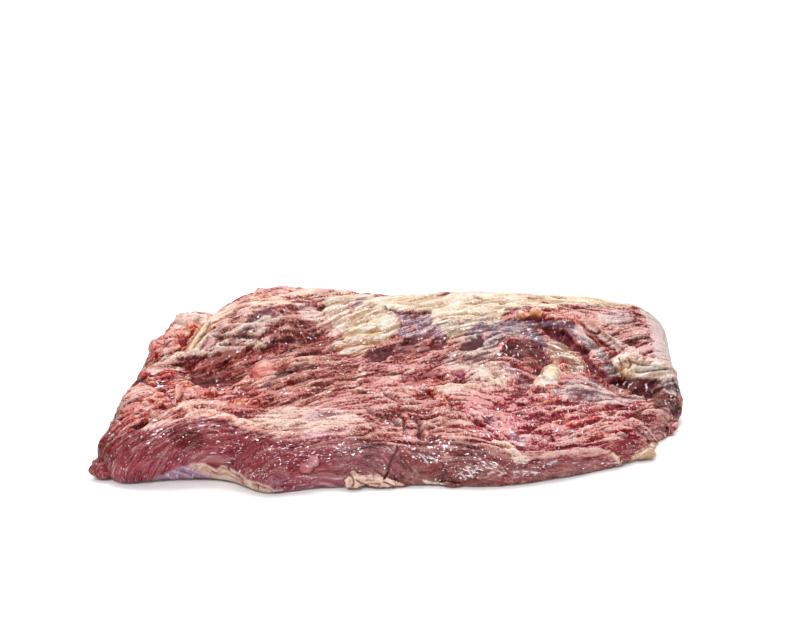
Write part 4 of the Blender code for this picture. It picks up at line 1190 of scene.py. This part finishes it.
def enrich(surface):
    """Richer colours where the meat is lean, and the mean of each colour from before."""
    grey = surface.colour.mean(1, keepdims=True)
    held = surface.kind["fat"] + surface.kind["skin"] + 0.7 * surface.kind["smooth"]
    rich = 1 + (RICHNESS - 1) * ((1 - held) * (1 - 0.7 * surface.plain))[:, None]
    surface.colour = np.clip(grey + rich * (surface.colour - grey), LEAST_COLOUR, 1)
    return grey[:, 0]


def material_attributes(surface, tone, grey):
    """What the material reads at each vertex."""
    kind, plain, count = surface.kind, surface.plain, len(surface.co)
    fatty = kind["fat"] + 0.5 * kind["pale"] + 0.5 * kind["skin"] + 0.9 * plain * smooth_step(0.12, 0.4, grey)
    contrast = surface.mixed("contrast") * (1 - 0.45 * surface.wall) * (1 - 0.5 * plain)
    return {
        "tint": ("FLOAT_COLOR", np.concatenate([surface.colour, np.ones((count, 1))], 1)),
        "grain": ("FLOAT_VECTOR", np.stack([surface.p, surface.q, np.zeros(count)], 1)),
        "wet": ("FLOAT", surface.mixed("wet")),
        "contrast": ("FLOAT", contrast),
        "tone": ("FLOAT", tone),
        "wall": ("FLOAT", surface.wall),
        "cut": ("FLOAT", np.clip(surface.cut, 0, 1)),
        "glint": ("FLOAT", glint_share(surface)),
        "lift": ("FLOAT", 0.14 + 0.58 * smooth_step(0.04, 0.28, grey) + 0.1 * kind["fat"]),
        "fatty": ("FLOAT", np.clip(fatty, 0, 1)),
    }


def build_body(material):
    mesh = smooth_surface(BODY_LEVEL)
    surface = Surface(mesh)
    paint_regions(surface)
    swell(surface)
    paint_hidden_sides(surface)
    mottle(surface)
    paint_lumps(surface)
    paint_lines(surface)
    height, tone = relief(surface)
    tone += (0.5 - tone) * 0.8 * surface.plain
    grey = enrich(surface)
    height = (height + surface.raised) * (1 - 0.9 * surface.under)
    places = surface.co + surface.normal * height[:, None]
    places[:, 2] = np.maximum(places[:, 2], 0.0)
    mesh.vertices.foreach_set("co", (places * MM).ravel())
    mesh.update()
    normals = read_normals(mesh)
    corners = np.empty(len(mesh.loops), dtype=np.int32)
    mesh.loops.foreach_get("vertex_index", corners)
    quads = corners.reshape(-1, 4)
    bpy.data.meshes.remove(mesh)
    attributes = material_attributes(surface, tone, grey)
    order = np.argsort(places[quads, 0].mean(1), kind="stable")
    for k, part in enumerate(np.array_split(order, BODY_PIECES)):
        name = "brisket_meat_%d" % (k + 1)
        add_piece(name, places, normals, quads[np.sort(part)], attributes, material)


class Nodes:
    """Shorthand for building a material's node tree."""

    def __init__(self, material):
        material.use_nodes = True
        self.tree = material.node_tree
        self.shader = self.tree.nodes["Principled BSDF"]

    def link(self, source, target):
        self.tree.links.new(source, target)

    def add(self, kind, **inputs):
        node = self.tree.nodes.new(kind)
        for name, value in inputs.items():
            self.feed(node.inputs[name.replace("_", " ")], value)
        return node

    def feed(self, socket, value):
        if isinstance(value, bpy.types.NodeSocket):
            self.link(value, socket)
        else:
            socket.default_value = value

    def attribute(self, name, output="Fac"):
        node = self.tree.nodes.new("ShaderNodeAttribute")
        node.attribute_name = name
        return node.outputs[output]

    def math(self, operation, a, b=0.0, clamp=False):
        node = self.tree.nodes.new("ShaderNodeMath")
        node.operation = operation
        node.use_clamp = clamp
        self.feed(node.inputs[0], a)
        self.feed(node.inputs[1], b)
        return node.outputs[0]

    def chain(self, operation, first, *others):
        for other in others:
            first = self.math(operation, first, other)
        return first

    def stretch(self, vector, scale):
        node = self.tree.nodes.new("ShaderNodeVectorMath")
        node.operation = "MULTIPLY"
        self.feed(node.inputs[0], vector)
        node.inputs[1].default_value = scale
        return node.outputs[0]

    def noise(self, vector, scale, detail=3.0, roughness=0.55):
        node = self.add("ShaderNodeTexNoise", Scale=1.0, Detail=detail, Roughness=roughness)
        self.link(self.stretch(vector, scale), node.inputs["Vector"])
        return node.outputs["Fac"]

    def blend(self, share, a, b):
        node = self.tree.nodes.new("ShaderNodeMix")
        for place, value in ((0, share), (2, a), (3, b)):
            self.feed(node.inputs[place], value)
        return node.outputs[0]

    def ramp(self, value, low, high, out_low=0.0, out_high=1.0):
        node = self.tree.nodes.new("ShaderNodeMapRange")
        node.interpolation_type = "SMOOTHSTEP"
        self.feed(node.inputs["Value"], value)
        for name, number in (("From Min", low), ("From Max", high),
                             ("To Min", out_low), ("To Max", out_high)):
            self.feed(node.inputs[name], number)
        return node.outputs["Result"]

    def mix(self, share, a, b, blend="MIX"):
        node = self.tree.nodes.new("ShaderNodeMix")
        node.data_type = "RGBA"
        node.blend_type = blend
        self.feed(node.inputs[0], share)
        self.feed(node.inputs[6], a)
        self.feed(node.inputs[7], b)
        return node.outputs[2]


def rgba(colour):
    """A node's colour, from a scene-linear one or from hex."""
    return (*(linear(colour) if isinstance(colour, str) else colour), 1.0)


def raw_meat_material():
    material = bpy.data.materials.new("raw_meat")
    nodes = Nodes(material)
    tint = nodes.attribute("tint", "Color")
    grain = nodes.attribute("grain", "Vector")
    wet, contrast = nodes.attribute("wet"), nodes.attribute("contrast")
    tone, cut, fatty = nodes.attribute("tone"), nodes.attribute("cut"), nodes.attribute("fatty")
    wall, glint, lift = nodes.attribute("wall"), nodes.attribute("glint"), nodes.attribute("lift")

    def streaks(upper, on_wall, detail, roughness):
        """Noise along the grain, with a scale of its own on the walls."""
        return nodes.blend(wall, nodes.noise(grain, (*upper, 1.0), detail, roughness),
                           nodes.noise(grain, (*on_wall, 1.0), detail, roughness))

    fine = streaks((0.055, 0.42), (0.08, 0.75), 4.0, 0.7)
    strand = streaks((0.045, 0.19), (0.06, 0.33), 3.0, 0.6)
    speck = nodes.noise(grain, (0.45, 0.6, 1.0), 2.0, 0.6)
    grit = streaks((0.75, 0.42), (0.75, 0.95), 2.0, 0.6)
    glint_pattern = streaks((0.28, 0.36), (0.34, 0.85), 1.5, 0.5)
    cluster = nodes.ramp(nodes.noise(grain, (0.05, 0.09, 1.0), 1.0, 0.5), 0.35, 0.62, -0.6, 0.35)

    wave = nodes.chain("ADD", nodes.ramp(fine, 0.32, 0.68, -0.62, 0.62),
                       nodes.ramp(strand, 0.35, 0.65, -0.2, 0.2), nodes.ramp(speck, 0.3, 0.7, -0.3, 0.3),
                       nodes.ramp(grit, 0.3, 0.7, -0.32, 0.45))
    tone = nodes.math("ADD", tone, nodes.math("MULTIPLY", wave, contrast), clamp=True)
    dark = nodes.mix(1.0, tint, nodes.mix(fatty, rgba(DARK_LEAN), rgba(DARK_FAT)), "MULTIPLY")
    light = nodes.mix(lift, tint, nodes.mix(fatty, rgba(LIGHT_LEAN), rgba(LIGHT_FAT)))
    colour = nodes.mix(nodes.ramp(tone, 0.0, 0.5), dark, tint)
    colour = nodes.mix(nodes.ramp(tone, 0.5, 1.0), colour, light)
    # Painted shade in the seams round the lumps.
    colour = nodes.mix(nodes.math("MULTIPLY", cut, 0.75), colour, rgba(SEAM_SHADE_COLOUR))
    colour = nodes.mix(1.0, colour, rgba((ALBEDO, ALBEDO, ALBEDO)), "MULTIPLY")
    # Painted glints: near-white spots mixed into the base colour where the wet meat would catch the light;
    # the same spots also raise the glossy coat.
    glint_density = nodes.math("MULTIPLY", nodes.math("ADD", glint, cluster), 0.10)
    drop = nodes.ramp(nodes.math("ADD", glint_pattern, glint_density), 0.67, 0.75, 0.0, 0.88)
    nodes.link(nodes.mix(drop, colour, rgba(PAINTED_GLINT_COLOUR)), nodes.shader.inputs["Base Color"])

    rough = nodes.math("SUBTRACT", 0.52, nodes.math("MULTIPLY", wet, 0.22))
    rough = nodes.math("ADD", rough, nodes.ramp(speck, 0.3, 0.7, -0.08, 0.08), clamp=True)
    nodes.link(rough, nodes.shader.inputs["Roughness"])
    nodes.shader.inputs["Specular IOR Level"].default_value = 0.14
    shiny = nodes.math("MAXIMUM", drop, nodes.math("MULTIPLY", wet, nodes.ramp(glint_pattern, 0.50, 0.60)))
    nodes.link(shiny, nodes.shader.inputs["Coat Weight"])
    nodes.shader.inputs["Coat Roughness"].default_value = 0.1

    height = nodes.chain("ADD", nodes.chain("MULTIPLY", fine, contrast, 0.9),
                         nodes.chain("MULTIPLY", strand, contrast, 0.8),
                         nodes.math("MULTIPLY", speck, 1.1), nodes.math("MULTIPLY", grit, 0.6))
    bump = nodes.add("ShaderNodeBump", Strength=1.0, Distance=0.0012, Height=height)
    nodes.link(bump.outputs["Normal"], nodes.shader.inputs["Normal"])
    return material


def build_floor():
    mesh = bpy.data.meshes.new("floor")
    half = 6.0
    corners = [(-half, -half, 0), (half, -half, 0), (half, half, 0), (-half, half, 0)]
    mesh.from_pydata(corners, [], [(0, 1, 2, 3)])
    floor = bpy.data.objects.new("floor", mesh)
    bpy.context.scene.collection.objects.link(floor)
    material = bpy.data.materials.new("pale_floor")
    material.use_nodes = True
    shader = material.node_tree.nodes["Principled BSDF"]
    shader.inputs["Base Color"].default_value = rgba(FLOOR_COLOUR)
    shader.inputs["Roughness"].default_value = 0.7
    shader.inputs["Specular IOR Level"].default_value = 0.1
    mesh.materials.append(material)


def sun(name, rise, turn, soft, strength):
    """A soft light from a direction: degrees above the floor, and degrees round from the front."""
    data = bpy.data.lights.new(name, "SUN")
    data.angle = math.radians(soft)
    data.energy = strength
    light = bpy.data.objects.new(name, data)
    light.rotation_euler = (math.radians(90 - rise), 0, math.radians(turn))
    bpy.context.scene.collection.objects.link(light)


def build_light():
    world = bpy.data.worlds.new("studio")
    bpy.context.scene.world = world
    world.use_nodes = True
    tree = world.node_tree
    place = tree.nodes.new("ShaderNodeTexCoord").outputs["Generated"]
    height = tree.nodes.new("ShaderNodeSeparateXYZ")
    tree.links.new(place, height.inputs[0])
    dome = tree.nodes.new("ShaderNodeMapRange")
    tree.links.new(height.outputs["Z"], dome.inputs["Value"])
    for name, number in (("From Min", 0.1), ("From Max", 0.9), ("To Min", 0.1), ("To Max", 0.95)):
        dome.inputs[name].default_value = number
    tree.links.new(dome.outputs["Result"], tree.nodes["Background"].inputs["Strength"])
    tree.nodes["Background"].inputs["Color"].default_value = (1, 1, 1, 1)
    sun("top_softbox", 72, 165, 40, 2.2)
    sun("front_softbox", 50, -20, 6, 1.2)
    sun("low_front_softbox", 16, 24, 5, 0.35)
    bpy.context.scene.view_settings.view_transform = "Standard"


def build_camera():
    data = bpy.data.cameras.new("camera")
    data.sensor_width = SENSOR_MM
    data.lens = FOCAL_PX / IMAGE_PX[0] * SENSOR_MM
    data.clip_start, data.clip_end = 0.05, 50
    camera = bpy.data.objects.new("camera", data)
    camera.location = Vector(CAMERA_MM) * MM
    camera.rotation_euler = (math.radians(90 - CAMERA_TILT), 0, 0)
    bpy.context.scene.collection.objects.link(camera)
    bpy.context.scene.camera = camera


def main():
    build_camera()
    build_light()
    build_floor()
    build_body(raw_meat_material())


main()
